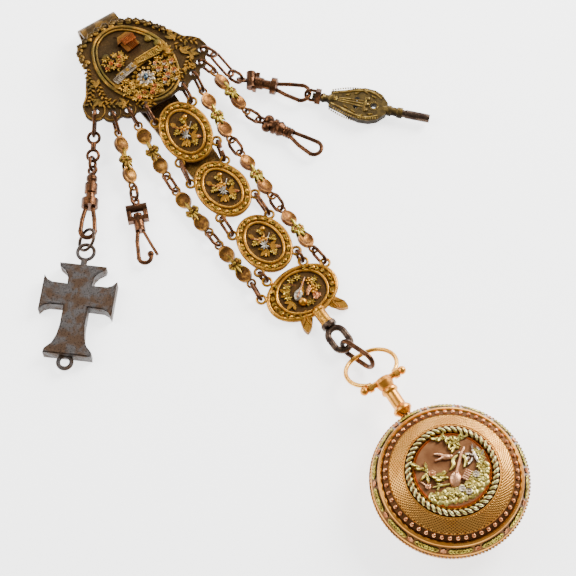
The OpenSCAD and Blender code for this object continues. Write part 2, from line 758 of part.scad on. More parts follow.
module swivel_8() {
    color(bronze) on_ground() at(base_8, way_8) {
        translate([-9.6, 0, 0]) rotate([-40, 0, 0]) torus(1.2, 0.42);
        translate([-8.2, 0, 0]) rotate([0, 90, 0]) cylinder(r = 0.6, h = 1);
        translate([-6.9, 0.4, 0])
            rotate([0, 0, 14])
                rotate([90, 0, 0])
                    cylinder(r = 1.4, h = 5.2, center = true);
        rod([-7.2, 2.6, 0], [-5.2, 2.6, 0], 0.6);
        rod([-6, -2, 0], [-5.2, -2.2, 0], 0.6);
        translate([-5.3, 0.1, 0]) cube([1.1, 5.8, 1.8], center = true);
        turned([[0, -5.6], [1.75, -5.6], [1.75, -3.3], [1.4, -2.95], [1.4, -1.1],
            [bore_radius, -1.1], [bore_radius, -3.5], [head_radius + 0.1, -3.5],
            [head_radius + 0.1, -4.6], [0, -4.6]]);
    }
}

module hook_8() {
    color(bronze) on_ground() at(base_8, way_8) {
        turned([[0, -4.5], [head_radius, -4.5], [head_radius, -3.6], [shank_radius, -3.6],
            [shank_radius, -0.91], [2.5, -0.9], [2.5, 0.7], [1.6, 1.1], [0, 1.1]]);
        leg([[0.3, 0.8, 0], [4.3, 1.65, 0], [8.1, 2.15, 0]], 0.6);
        leg([[0.3, -0.8, 0], [4, -2.05, 0], [8.1, -2.95, 0]], 0.6);
        translate([8.1, -0.4, 0]) hook_end(2.55, 0.6);
    }
}

module key_bail() {
    color(bronze) on_ground() at(key_base, key_way) {
        translate([-3.65, 0.1, 0]) rotate([60, 0, 0]) {
            rotate([0, 0, 180]) hook_end(1.6, 0.45);
            for (y = [-1.6, 1.6])
                translate([1.03, y, 0]) rotate([0, 90, 0]) cylinder(r = 0.45, h = 2, center = true);
        }
        difference() {
            translate([-1.5, 0.1, 0]) rotate([60, 0, 0]) cube([1.6, 4.1, 1.9], center = true);
            translate([-3, 0, 0]) rotate([0, 90, 0]) cylinder(r = 0.65, h = 4);
        }
    }
}

module key_head() {
    side = [[2, 2.2], [5.8, 3.4], [8.8, 4.6], [11.4, 5.4], [14.4, 5.2], [16.7, 4.2], [18.8, 1.8]];
    color(gilt) on_ground() at(key_base, key_way) {
        turned([[0, -3.1], [0.95, -3.1], [0.95, -2.4], [0.6, -2.4], [0.6, -0.6], [1.1, -0.6],
            [1.45, 0], [1.1, 0.8], [1.1, 1.3], [1.6, 2.2], [1.6, 3.2], [0, 3.2]]);
        difference() {
            translate([0, 0, -1]) linear_extrude(2)
                polygon(concat(side, [for (i = [0 : 6]) [side[6 - i][0], -side[6 - i][1]]]));
            translate([9.8, 1.3, -2]) cylinder(r = 0.7, h = 4);
            translate([9.8, -1.3, -2]) cylinder(r = 0.7, h = 4);
            translate([14.9, 0, -2]) cylinder(r = 0.8, h = 4);
        }
        for (y = [-1.9, 0, 1.9])
            translate([12.9, y, 0.8]) sphere(r = 0.75);
        turned([[0, 17.5], [1.2, 17.5], [1.55, 19.3], [1.55, 20], [1.25, 20.3], [1.25, 21.6],
            [1.55, 22], [1.55, 23.4], [0, 23.4]]);
    }
}

// Steel pipe with a square socket at its end
module key_pipe() {
    color(steel) on_ground() at(key_base, key_way) difference() {
        turned([[0, 23.43], [1.1, 23.43], [1.1, 24.2], [1.25, 24.4], [1.25, 30.6], [1.15, 31.3],
            [0, 31.3]]);
        translate([29.5, 0, 0]) cube([6, 1.2, 1.2], center = true);
    }
}

module watch_hook() {
    color(steel) on_ground() translate([0.1, 0, socket_height]) rotate([0, 0, -90]) {
        turned([[0, 9], [head_radius, 9], [head_radius, 10.5], [shank_radius, 10.5],
            [shank_radius, 12.09], [2.2, 12.1], [2.2, 13.1], [1.3, 13.5], [0, 13.5]]);
        translate([17.55, 0, 0]) oval_ring(7.1, 4.6, 0.9);
    }
}

link_top = [0.1, -19.7, 2.8];
link_end = [2.7, -28.6, 4.3];

module bow_link() {
    length = norm(link_end - link_top) + 2 * reach;
    color(bronze) on_ground() between(link_top, link_end, 78) oval_ring(length, 4.8, 0.68);
}

module on_pin() {
    translate(watch_pin) rotate([0, 0, watch_turn]) children();
}

module bow() {
    color(rose_gold) on_ground() on_pin() difference() {
        union() {
            rotate([-bow_tilt, 0, 0])
                translate([0, 6.3, 0])
                    difference() {
                        oval_ring(14.1, 11.7, 0.6);
                        translate([0, -6, 0]) cube([7, 4, 4], center = true);
                    }
            for (side = [-1, 1])
                translate([side * 4, 0, 0])
                    rotate([0, 90, 0])
                        cylinder(r = 1.35, h = 1.3, center = true);
        }
        rotate([0, 90, 0]) cylinder(r = pin_radius + bore_play, h = 14, center = true);
    }
}

module watch_case() {
    r = case_radius;
    w = case_wall;
    color(rose_gold) on_ground() on_pin() {
        translate([0, case_middle, -8])
            rotate_extrude()
                polygon([[r - 0.7, 6.6], [r - 0.3, 6.8], [r, 7.4], [r, 8.4], [r - 0.2, 8.8],
                    [18.8, 11.3], [18.6, 11.7], [18.1, 12.1], [17.6, 11.8], [17.4, 12.2],
                    [16.2, 12.9], [15.9, 12.9], [12.5, 14.9], [12.2, 15.2], [11.9, 14.9],
                    [10.2, 15.1], [9.8, 15.4], [0, 15.5], [0, 15.5 - w], [9.6, 15.4 - w],
                    [12, 14.6 - w], [15.7, 12.4 - w], [17.6, 11.2 - w], [18.4, 10.9 - w],
                    [r - 1.6, 8.4], [r - 1.6, 7], [r - 0.7, 7]]);
        translate([0, case_middle, 7.1]) torus(11.1, 0.75);
        for (i = [0 : 51])
            translate([0, case_middle, 4.55])
                rotate([0, 0, 360 * i / 52]) translate([16.8, 0, 0]) sphere(r = 0.55);
        rotate([0, 0, -90])
            turned([[0, -0.6], [2.1, -0.6], [2.5, 0.6], [2.2, 1.6], [1.9, 2.4], [2.3, 3],
                [2.3, 3.6], [1.8, 4.2], [1.8, 8.2], [2.6, 9.2], [2.6, 9.8], [1.35, 11.2],
                [1.35, 12.2], [0, 12.2]]);
        rotate([0, 90, 0]) cylinder(r = pin_radius, h = 11.4, center = true);
        for (side = [-1, 1])
            translate([side * 5.8, 0, 0]) sphere(r = 1.2);
    }
}

module watch_bezel() {
    r = case_radius;
    color(rose_gold) on_ground() on_pin()
        translate([0, case_middle, -8])
            rotate_extrude()
                polygon([[r - 0.7, 6.56], [r - 1.6, 6.56], [r - 1.6, 5.4], [17.9, 5.4], [17.9, 3.6],
                    [18.4, 2.6], [19.2, 2.9], [r - 0.6, 4.6], [r - 0.4, 6.2]]);
}

// Domed crystal, flat in the middle, that the watch lies on
module watch_crystal() {
    color(crystal_clear) on_ground() on_pin()
        translate([0, case_middle, -8])
            rotate_extrude()
                polygon([[0, 0], [8.5, 0], [12.5, 0.6], [15.6, 1.7], [17.8, 3.5], [17.8, 4.9],
                    [16.9, 4.9], [16.6, 3.9], [15, 2.7], [12.2, 1.7], [8.5, 1.1], [0, 1.1]]);
}

module watch_dial() {
    color(enamel) on_ground() on_pin()
        translate([0, case_middle, -8]) {
            translate([0, 0, 5.45]) cylinder(r = 18.6, h = 0.8);
            translate([0, 0, 4]) cylinder(r = 0.8, h = 1.6);
        }
}

belt_hook();
plaque();
medallion_1();
medallion_2();
medallion_3();
medallion_4();
ring_1();
figure_eight_link();
ring_1_lower();
swivel_1();
hook_1();
steel_ring();
cross();
ring_2();
leaf_link_2();
ring_2_lower();
swivel_2();
hook_2();
ring_3();
leaf_link_3a();
ring_3a();
leaf_link_3b();
ring_3b();
leaf_link_3c();
ring_3c();
ring_4();
ring_5();
ring_12_left();
ring_12_right();
ring_23_left();
ring_23_right();
ring_34_left();
ring_34_right();
ring_6();
leaf_link_6a();
ring_6a();
leaf_link_6b();
ring_6b();
leaf_link_6c();
ring_6c();
ring_7();
leaf_link_7();
ring_7_lower();
swivel_7();
hook_7();
ring_8();
long_link_8();
ring_8_lower();
swivel_8();
hook_8();
key_bail();
key_head();
key_pipe();
watch_hook();
bow_link();
bow();
watch_case();
watch_bezel();
watch_crystal();
watch_dial();
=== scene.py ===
import math

import bpy
from mathutils import Euler, Matrix, Vector


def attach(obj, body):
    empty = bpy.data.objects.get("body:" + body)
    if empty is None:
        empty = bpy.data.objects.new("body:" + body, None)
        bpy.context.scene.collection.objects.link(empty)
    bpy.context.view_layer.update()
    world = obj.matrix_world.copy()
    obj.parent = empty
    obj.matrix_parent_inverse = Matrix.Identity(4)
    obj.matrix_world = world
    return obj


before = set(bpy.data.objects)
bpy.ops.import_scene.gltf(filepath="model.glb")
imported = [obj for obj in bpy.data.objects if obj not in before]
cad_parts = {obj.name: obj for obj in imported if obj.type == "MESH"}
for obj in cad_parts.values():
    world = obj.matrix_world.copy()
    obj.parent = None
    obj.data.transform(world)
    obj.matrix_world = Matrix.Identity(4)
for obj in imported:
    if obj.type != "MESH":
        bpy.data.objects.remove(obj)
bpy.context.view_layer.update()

# Places are in millimetres from under the middle of the lowest medallion, as in the part's source;
# this moves them to the shared frame, in metres with the whole chatelaine centred
MM = 0.001
CENTRE_SHIFT = (3.345, -9.105, 0.0)
TO_ROW = Matrix.Scale(MM, 4) @ Matrix.Translation(CENTRE_SHIFT)
TURN = 2 * math.pi
GOLDEN_TURN = 137.5

# Camera: its distance from the point on the floor that it looks at, its height angle and its heading
LOOK_AT = Vector((-2.15, 3.88, 0.0))
CAMERA_DISTANCE = 460.0
CAMERA_UP = math.radians(65)
CAMERA_TURN = math.radians(34)
LENS = 104.3
RIGHT = Vector((math.cos(CAMERA_TURN), -math.sin(CAMERA_TURN), 0.0))
AHEAD = Vector((math.sin(CAMERA_TURN), math.cos(CAMERA_TURN), 0.0))
UP = Vector((0.0, 0.0, 1.0))

# Places shared with the solids
MEDALLIONS = {
    1: ((-0.1, 58.9, 4.8), (10, -9, -4)),
    2: ((-0.9, 38.6, 2.8), (0, 0, 4.5)),
    3: ((-0.5, 18.1, 2.2), (-2, 0, -1)),
}
LOWEST = (0.0, 0.0, 1.3)
PLAQUE_TOP = 6.8
OVAL_MIDDLE = (-0.45, 85.2)
LEAF_LINKS = {
    "2": ((-16.1, 70.0, 4.6), (-21.5, 53.3, 2.0), -35),
    "3a": ((-10.2, 68.9, 4.5), (-11.7, 50.8, 2.0), 20),
    "3b": ((-12.0, 46.3, 1.9), (-11.3, 29.1, 1.8), 20),
    "3c": ((-11.2, 25.3, 1.8), (-10.2, 9.3, 2.0), 20),
    "6a": ((11.4, 68.4, 4.5), (9.9, 50.6, 2.0), -20),
    "6b": ((9.9, 46.4, 1.9), (9.6, 29.0, 1.8), -20),
    "6c": ((9.5, 25.0, 1.8), (9.8, 8.5, 2.0), -20),
    "7": ((17.4, 71.7, 4.7), (18.7, 55.8, 2.4), -30),
}
WATCH_PIN = (1.45, -35.6, 8.0)
WATCH_TURN = -3
CASE_MIDDLE = (0.0, -31.94, -8.0)
KEY_BASE = (39.58, 47.6, 2.5)
KEY_TURN = -47


def placed(point, turn=0.0, up=0.0, roll=0.0):
    """Frame at a point, turned about Z, raised by an angle and rolled about its own X, in degrees."""
    angles = [math.radians(a) for a in (turn, -up, roll)]
    return (Matrix.Translation(point) @ Matrix.Rotation(angles[0], 4, "Z")
            @ Matrix.Rotation(angles[1], 4, "Y") @ Matrix.Rotation(angles[2], 4, "X"))


def between(a, b, roll=0.0):
    """Frame halfway between two points, with X along them."""
    way = Vector(b) - Vector(a)
    turn = math.degrees(math.atan2(way.y, way.x))
    up = math.degrees(math.asin(way.z / way.length))
    return placed((Vector(a) + Vector(b)) / 2, turn, up, roll)


def tilted(point, tilt):
    """Frame at a point with the three tilts of a medallion."""
    return Matrix.Translation(point) @ Euler([math.radians(a) for a in tilt]).to_matrix().to_4x4()


def polar(radius, turn):
    """Point on a circle, the turn in degrees."""
    return radius * math.cos(math.radians(turn)), radius * math.sin(math.radians(turn))


def on_oval(half_width, half_height, turn):
    """Point on an oval and the heading along it there, the angles in degrees."""
    turn = math.radians(turn)
    across, along = math.cos(turn), math.sin(turn)
    heading = math.degrees(math.atan2(half_height * across, -half_width * along))
    return half_width * across, half_height * along, heading


PLAQUE = placed((0, 0, PLAQUE_TOP))
WATCH = placed(WATCH_PIN, WATCH_TURN) @ Matrix.Translation(CASE_MIDDLE)
KEY = placed(KEY_BASE, KEY_TURN)


# Materials


def tone(red, green, blue):
    """Colour from its parts out of 255, as a screen shows them."""
    def straight(part):
        part /= 255
        return part / 12.92 if part <= 0.04045 else ((part + 0.055) / 1.055) ** 2.4
    return straight(red), straight(green), straight(blue), 1.0


class Field:
    """A value that changes over a surface; sums and products on it add their own nodes."""

    def __init__(self, finish, socket):
        self.finish = finish
        self.socket = socket

    def math(self, operation, first, second=0.0):
        return self.finish.node("ShaderNodeMath", {"operation": operation}, {0: first, 1: second})

    def __add__(self, other):
        return self.math("ADD", self, other)

    def __radd__(self, other):
        return self.math("ADD", other, self)

    def __sub__(self, other):
        return self.math("SUBTRACT", self, other)

    def __rsub__(self, other):
        return self.math("SUBTRACT", other, self)

    def __mul__(self, other):
        return self.math("MULTIPLY", self, other)

    def __rmul__(self, other):
        return self.math("MULTIPLY", other, self)

    def power(self, other):
        return self.math("POWER", self, other)

    def sine(self):
        return self.math("SINE", self)

    def size(self):
        return self.math("ABSOLUTE", self)

    def least(self, other):
        return self.math("MINIMUM", self, other)

    def most(self, other):
        return self.math("MAXIMUM", self, other)

    def angle(self, other):
        return self.math("ARCTAN2", self, other)

    def away(self, other):
        """Distance from the middle, from the places along two axes."""
        return (self * self + other * other).power(0.5)

    def step(self, low, high):
        """Smooth rise from 0 at low to 1 at high."""
        return self.finish.node(
            "ShaderNodeMapRange", {"interpolation_type": "SMOOTHSTEP"},
            {0: self, 1: low, 2: high, 3: 0.0, 4: 1.0})


class Finish:
    """A material whose colour, roughness and relief are worked out from places on the piece."""

    def __init__(self, name, **constants):
        self.material = bpy.data.materials.new(name)
        self.material.use_nodes = True
        self.tree = self.material.node_tree
        self.shader = self.tree.nodes["Principled BSDF"]
        for socket, value in constants.items():
            self.shader.inputs[socket.replace("_", " ")].default_value = value

    def node(self, kind, settings=None, inputs=None, output=0):
        node = self.tree.nodes.new(kind)
        for key, value in (settings or {}).items():
            setattr(node, key, value)
        for key, value in (inputs or {}).items():
            self.feed(node.inputs[key], value)
        return Field(self, node.outputs[output])

    def feed(self, socket, value):
        if isinstance(value, Field):
            self.tree.links.new(value.socket, socket)
        else:
            socket.default_value = value

    def set(self, socket, value):
        self.feed(self.shader.inputs[socket], value)

    def here(self, place=None):
        """Place on the piece in millimetres, in the frame of a sub-part."""
        coordinates = self.node("ShaderNodeTexCoord", output="Object")
        matrix = TO_ROW @ (place or Matrix.Identity(4))
        return self.node(
            "ShaderNodeMapping", {"vector_type": "TEXTURE"},
            {0: coordinates, 1: matrix.to_translation(), 2: matrix.to_euler(), 3: (MM, MM, MM)})

    def parts(self, vector):
        """The X, Y and Z of a place."""
        node = self.tree.nodes.new("ShaderNodeSeparateXYZ")
        self.feed(node.inputs[0], vector)
        return [Field(self, socket) for socket in node.outputs]

    def noise(self, vector, scale, detail=3.0, distortion=0.0):
        return self.node(
            "ShaderNodeTexNoise", None,
            {"Vector": vector, "Scale": scale, "Detail": detail, "Distortion": distortion})

    def cells(self, vector, scale):
        return self.node("ShaderNodeTexVoronoi", None, {"Vector": vector, "Scale": scale})

    def mix(self, factor, low, high):
        """Colour between two, by a factor."""
        return self.node(
            "ShaderNodeMix", {"data_type": "RGBA"}, {0: factor, 6: low, 7: high}, output=2)

    def bump(self, height, distance, strength=1.0):
        normal = self.node(
            "ShaderNodeBump", None,
            {"Height": height, "Distance": distance * MM, "Strength": strength}, output="Normal")
        self.set("Normal", normal)


def worn_metal(name, bright, dull, dark, roughness=0.3, patch=0.3, dirt=0.5, grain=0.02, place=None):
    """Old gilt or bare metal: bright where rubbed, dull in patches, dark dirt in fine pits."""
    finish = Finish(name, Metallic=1.0)
    here = finish.here(place)
    patches = finish.noise(here, patch, 5.0, 0.4).step(0.4, 0.62)
    specks = finish.noise(here, 2.6, 6.0).step(0.5, 0.72)
    scratches = finish.noise(here, 9.0, 4.0)
    colour = finish.mix(patches, bright, dull)
    colour = finish.mix(specks * dirt, colour, dark)
    finish.set("Base Color", colour)
    finish.set("Roughness", roughness + 0.16 * patches + 0.2 * specks + 0.1 * (scratches - 0.5))
    finish.bump(scratches + specks * 0.6, grain)
    return finish


def relief_metal(name, bright, dull, dark, place, low, high, roughness=0.3, patch=0.3, dirt=0.35,
                 grain=0.02, stains=()):
    """Worn metal with painted shade in the hollows of a relief, by height over its own ground.

    A stain has a place, a radius, a colour and a strength.
    """
    finish = Finish(name, Metallic=1.0)
    here = finish.here(place)
    x, y, height = finish.parts(here)
    patches = finish.noise(here, patch, 5.0, 0.4).step(0.38, 0.64)
    specks = finish.noise(here, 2.4, 6.0).step(0.5, 0.72)
    scratches = finish.noise(here, 9.0, 4.0)
    # Painted shade: the lower a place lies over the ground, the more of the dark colour it takes; the same
    # colour also marks dirt in pits
    hollow = 1.0 - (height + 0.3 * (specks - 0.5)).step(low, high)
    colour = finish.mix(patches, bright, dull)
    colour = finish.mix(specks * dirt, colour, dark)
    for (across, along), radius, stain, strength in stains:
        away = (x - across).away(y - along)
        colour = finish.mix((1.0 - away.step(0.7 * radius, radius)) * strength, colour, stain)
    # Painted shade in the hollows of the relief
    colour = finish.mix(hollow, colour, dark)
    finish.set("Base Color", colour)
    finish.set("Roughness", roughness + 0.14 * patches + 0.15 * specks + 0.2 * hollow)
    finish.bump(scratches + specks * 0.6, grain)
    return finish


# Small models, in millimetres, that are copied many times


def deselect():
    bpy.ops.object.select_all(action="DESELECT")


def edit(kind="FACE", action="SELECT"):
    """Opens the piece in hand for shaping, all of it selected or none."""
    bpy.ops.object.mode_set(mode="EDIT")
    bpy.ops.mesh.select_mode(type=kind)
    bpy.ops.mesh.select_all(action=action)


def leave_edit():
    bpy.ops.object.mode_set(mode="OBJECT")


def pick(piece, test):
    """Selects the vertices of a piece that pass a test on their place."""
    edit("VERT", "DESELECT")
    leave_edit()
    for vertex in piece.data.vertices:
        vertex.select = test(vertex.co)
    bpy.ops.object.mode_set(mode="EDIT")


def settle(name):
    """Names the piece in hand and puts its place into its mesh."""
    piece = bpy.context.object
    piece.name = name
    bpy.ops.object.transform_apply(location=True, rotation=True, scale=True)
    return piece


def leaf_model():
    """Pointed leaf one long from its stalk at the origin, crowned along the middle."""
    deselect()
    bpy.ops.mesh.primitive_circle_add(vertices=12, radius=0.5, fill_type="NGON", location=(0.5, 0, 0))
    piece = settle("leaf_model")
    edit()
    bpy.ops.transform.resize(value=(1, 0.46, 1), center_override=(0.5, 0, 0))
    bpy.ops.mesh.extrude_region_move(TRANSFORM_OT_translate={"value": (0, 0, 0.1)})
    bpy.ops.mesh.inset(thickness=0.1, depth=0.1)
    bpy.ops.mesh.poke(offset=-0.02)
    leave_edit()
    pick(piece, lambda place: place.x > 0.97 and place.z < 0.15)
    bpy.ops.transform.translate(value=(0.16, 0, 0))
    leave_edit()
    return piece


def petal_model():
    """Round petal one long, hollow in the middle."""
    deselect()
    bpy.ops.mesh.primitive_circle_add(vertices=12, radius=0.5, fill_type="NGON", location=(0.5, 0, 0))
    piece = settle("petal_model")
    edit()
    bpy.ops.transform.resize(value=(1, 0.78, 1), center_override=(0.5, 0, 0))
    bpy.ops.mesh.extrude_region_move(TRANSFORM_OT_translate={"value": (0, 0, 0.16)})
    bpy.ops.mesh.inset(thickness=0.09, depth=0.08)
    bpy.ops.mesh.inset(thickness=0.12, depth=-0.08)
    leave_edit()
    pick(piece, lambda place: place.x < 0.2)
    bpy.ops.transform.resize(value=(1, 0.5, 1), center_override=(0, 0, 0))
    leave_edit()
    return piece


def bead_model():
    """Ball of radius one."""
    deselect()
    bpy.ops.mesh.primitive_uv_sphere_add(segments=12, ring_count=8, radius=1)
    return settle("bead_model")


def bar_model():
    """Rounded bar one long, wide and high, standing on its ground."""
    deselect()
    bpy.ops.mesh.primitive_cube_add(size=1, location=(0, 0, 0.5))
    piece = settle("bar_model")
    edit("EDGE")
    bpy.ops.mesh.bevel(offset=0.16, segments=2)
    leave_edit()
    return piece


def lute_model():
    """Lute two long in its body, the neck along X, the ribs rounded and the table flat."""
    deselect()
    bpy.ops.mesh.primitive_uv_sphere_add(segments=20, ring_count=10, radius=1)
    piece = settle("lute_model")
    edit()
    bpy.ops.transform.resize(value=(1.15, 0.72, 0.42), center_override=(0, 0, 0))
    leave_edit()
    pick(piece, lambda place: place.x > 0.4)
    bpy.ops.transform.resize(value=(1.12, 0.7, 0.8), center_override=(0.4, 0, 0))
    leave_edit()
    pick(piece, lambda place: place.x > 0.9)
    bpy.ops.transform.resize(value=(1.1, 0.5, 0.8), center_override=(0.9, 0, 0))
    leave_edit()
    return piece


def wire_model(points, radius, ends):
    """Round wire through points; ends is its share of the radius at either end, or None."""
    curve = bpy.data.curves.new("wire", "CURVE")
    curve.dimensions = "3D"
    curve.bevel_depth = radius
    curve.bevel_resolution = 2
    curve.resolution_u = 4
    curve.use_fill_caps = True
    line = curve.splines.new("NURBS")
    line.points.add(len(points) - 1)
    line.order_u = min(3, len(points))
    line.use_endpoint_u = True
    for i, point in enumerate(points):
        line.points[i].co = (*point, 1.0)
        if ends is not None and i in (0, len(points) - 1):
            line.points[i].radius = ends
    piece = bpy.data.objects.new("wire", curve)
    bpy.context.collection.objects.link(piece)
    deselect()
    piece.select_set(True)
    bpy.context.view_layer.objects.active = piece
    bpy.ops.object.convert(target="MESH")
    return bpy.context.object


LEAF = leaf_model()
PETAL = petal_model()
BEAD = bead_model()
BAR = bar_model()
LUTE = lute_model()
MODELS = [LEAF, PETAL, BEAD, BAR, LUTE]
SMOOTH_BELOW = math.radians(42)


class Bench:
    """Gathers small parts in the frame of a sub-part and joins them into one piece."""

    def __init__(self, place):
        self.place = place
        self.parts = []

    def keep(self, mesh, matrix):
        """Takes in a mesh of its own, put at its place in the sub-part."""
        mesh.transform(self.place @ matrix)
        part = bpy.data.objects.new("part", mesh)
        bpy.context.collection.objects.link(part)
        self.parts.append(part)

    def add(self, model, at, turn=0.0, size=(1.0, 1.0, 1.0), up=0.0, roll=0.0):
        """Copies a model to a place, with one size or three."""
        size = size if hasattr(size, "__len__") else (size,) * 3
        scale = Matrix.Diagonal((*size, 1.0))
        self.keep(model.data.copy(), placed(at, turn, up, roll) @ scale)

    def wire(self, points, radius, ends=None):
        piece = wire_model(points, radius, ends)
        self.keep(piece.data.copy(), Matrix.Identity(4))
        old = piece.data
        bpy.data.objects.remove(piece)
        bpy.data.meshes.remove(old)

    def leaf(self, at, turn, length, width=1.0, height=1.0, up=0.0):
        self.add(LEAF, at, turn, (length, length * width, length * height), up)

    def bead(self, at, radius):
        self.add(BEAD, at, 0.0, radius)

    def tuft(self, at, radius, leaves=5, turn=0.0, height=1.0):
        """Small bunch of leaves round a berry."""
        for i in range(leaves):
            self.leaf(at, turn + 360 * i / leaves, radius, 1.1, height, up=16)
        self.bead((at[0], at[1], at[2] + radius * 0.22), radius * 0.3)

    def flower(self, at, radius, petals=6, turn=0.0):
        for i in range(petals):
            self.add(PETAL, at, turn + 360 * i / petals, (radius, radius * 1.1, radius), up=12)
        self.bead((at[0], at[1], at[2] + radius * 0.3), radius * 0.3)

    def vine(self, points, leaf, gap=0.9, height=1.0):
        """Stem along a row of points with leaves at either side of it in turn."""
        self.wire(points, 0.12 * leaf)
        side = 1
        for start, end in zip(points, points[1:]):
            start, end = Vector(start), Vector(end)
            way = end - start
            turn = math.degrees(math.atan2(way.y, way.x))
            for i in range(max(1, round(way.length / gap))):
                self.leaf(start + way * (i * gap / way.length), turn + 48 * side, leaf, 1.1, height, up=12)
                side = -side

    def cluster(self, middle, spread, count, keep_off, make):
        """Calls make for places that fill an oval evenly, outside the places to keep off."""
        for i in range(count):
            radius, turn = math.sqrt((i + 0.5) / count), GOLDEN_TURN * i
            x, y = polar(radius, turn)
            x, y = middle[0] + spread[0] * x, middle[1] + spread[1] * y
            if all(math.hypot(x - a, y - b) > r for a, b, r in keep_off):
                make(i, x, y, turn)

    def finish(self, name, finish, body, slot):
        """Joins the parts into one piece that rides on a body."""
        deselect()
        for part in self.parts:
            part.select_set(True)
        bpy.context.view_layer.objects.active = self.parts[0]
        bpy.ops.object.join()
        piece = bpy.context.object
        piece.name = name
        piece.data.transform(TO_ROW)
        piece.data.materials.clear()
        piece.data.materials.append(finish.material)
        bpy.ops.object.shade_smooth_by_angle(angle=SMOOTH_BELOW)
        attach(piece, body)


# Finishes

GOLD = tone(206, 146, 54)
GOLD_DULL = tone(156, 106, 38)
GREEN_GOLD = tone(178, 158, 64)
GREEN_DULL = tone(122, 100, 38)
BROWN = tone(50, 32, 18)
ROSE = tone(206, 140, 92)
ROSE_DULL = tone(150, 86, 50)
SILVER = tone(186, 176, 160)
SILVER_DULL = tone(112, 102, 88)
COPPER = tone(158, 82, 36)
BRONZE = tone(100, 64, 40)
BRONZE_DULL = tone(62, 40, 26)
BLACK = tone(24, 18, 14)

# Tarnish on the plaque's ground: place, radius, colour and strength
PLAQUE_STAINS = (
    ((1.6, 91.6), 4.4, tone(104, 60, 26), 0.85),
    ((-6.4, 92.0), 5.0, tone(70, 62, 34), 0.8),
    ((6.6, 89.5), 3.6, tone(92, 82, 38), 0.7),
    ((-9.6, 86.5), 3.2, tone(78, 70, 32), 0.7))
# These two relief finishes darken their hollows with painted shade, by height over the plaque's ground
finish_plaque = relief_metal(
    "plaque_gilt", tone(162, 116, 44), tone(98, 78, 36), tone(52, 38, 24), PLAQUE,
    low=-0.3, high=0.6, roughness=0.3, patch=0.22, dirt=0.85, grain=0.06, stains=PLAQUE_STAINS)
finish_plaque_gold = relief_metal(
    "plaque_gold", tone(190, 142, 58), tone(138, 108, 44), BROWN, PLAQUE,
    low=0.1, high=1.1, roughness=0.28, patch=0.6, dirt=0.75)
finish_plaque_silver = worn_metal(
    "plaque_silver", tone(172, 156, 134), tone(102, 90, 74), BROWN, roughness=0.32, patch=0.8, dirt=0.7)
finish_crest = worn_metal(
    "crest_gilt", tone(126, 98, 52), tone(84, 68, 44), tone(40, 32, 24),
    roughness=0.34, patch=0.4, dirt=0.8)
finish_plaque_rose = worn_metal(
    "plaque_rose", COPPER, tone(104, 60, 30), BROWN, roughness=0.3, patch=0.6, dirt=0.7)
finish_old = worn_metal(
    "old_gilt", tone(112, 82, 38), tone(70, 54, 32), BROWN,
    roughness=0.34, patch=0.3, dirt=0.9, grain=0.06)
finish_left = worn_metal(
    "left_chain_gilt", tone(126, 86, 36), tone(80, 52, 26), BROWN, roughness=0.3, patch=0.5, dirt=0.9)
finish_right = worn_metal(
    "right_chain_gilt", tone(128, 84, 38), tone(84, 52, 26), BROWN, roughness=0.3, patch=0.5, dirt=0.9)
finish_green = worn_metal(
    "green_gold", GREEN_GOLD, GREEN_DULL, BROWN, roughness=0.28, patch=0.8, dirt=0.6)
finish_garland = worn_metal(
    "garland_green_gold", tone(168, 136, 54), tone(124, 94, 38), BROWN,
    roughness=0.3, patch=0.6, dirt=0.7)
finish_silver = worn_metal(
    "silver_relief", SILVER, SILVER_DULL, BROWN, roughness=0.28, patch=0.8, dirt=0.6)
finish_rose = worn_metal(
    "rose_relief", ROSE, ROSE_DULL, BROWN, roughness=0.28, patch=0.7, dirt=0.5)
finish_bronze = worn_metal(
    "bronze_wire", BRONZE, BRONZE_DULL, BLACK, roughness=0.24, patch=0.5, dirt=0.8, grain=0.03)
finish_steel = worn_metal(
    "dark_steel", tone(84, 68, 56), tone(50, 38, 32), BLACK,
    roughness=0.28, patch=0.5, dirt=0.8, grain=0.03)
finish_cross = worn_metal(
    "dark_silver", tone(74, 70, 68), tone(74, 58, 46), BLACK,
    roughness=0.38, patch=0.35, dirt=0.7, grain=0.12)


def medallion_finish(name, place, inner):
    """Gilt medallion, darkened by height: brown ground inside the inner rim, and painted shade at about
    half strength in the hollows of the garland.
    """
    finish = Finish(name, Metallic=1.0)
    here = finish.here(place)
    x, y, z = finish.parts(here)
    oval = (x * x * (1 / inner[0] ** 2) + y * y * (1 / inner[1] ** 2)).step(0.86, 1.0)
    patches = finish.noise(here, 0.4, 5.0, 0.4).step(0.38, 0.64)
    specks = finish.noise(here, 2.4, 6.0).step(0.48, 0.7)
    # Low places by height: inside the inner rim this gives the ground its brown, in the garland band it is
    # painted shade
    hollow = 1.0 - (z + 0.3 * (specks - 0.5)).step(0.15, 0.55)
    colour = finish.mix(patches, GOLD, GOLD_DULL)
    colour = finish.mix(specks * 0.6, colour, BROWN)
    # Brown ground inside the inner rim, painted shade in the hollows of the garland
    colour = finish.mix(hollow * (0.95 - 0.4 * oval), colour, tone(60, 44, 28))
    finish.set("Base Color", colour)
    finish.set("Roughness", 0.26 + 0.14 * patches + 0.15 * specks + 0.2 * hollow)
    finish.bump(specks, 0.02)
    return finish


# Plaque


# Places on the plaque that the leaves and flowers keep off: middle and radius
PLAQUE_BARE = ((-0.8, 78.9, 3.3), (-3.4, 83.6, 1.6), (-6.2, 82.9, 1.6), (2.0, 84.6, 1.6), (5.0, 84.8, 1.5))


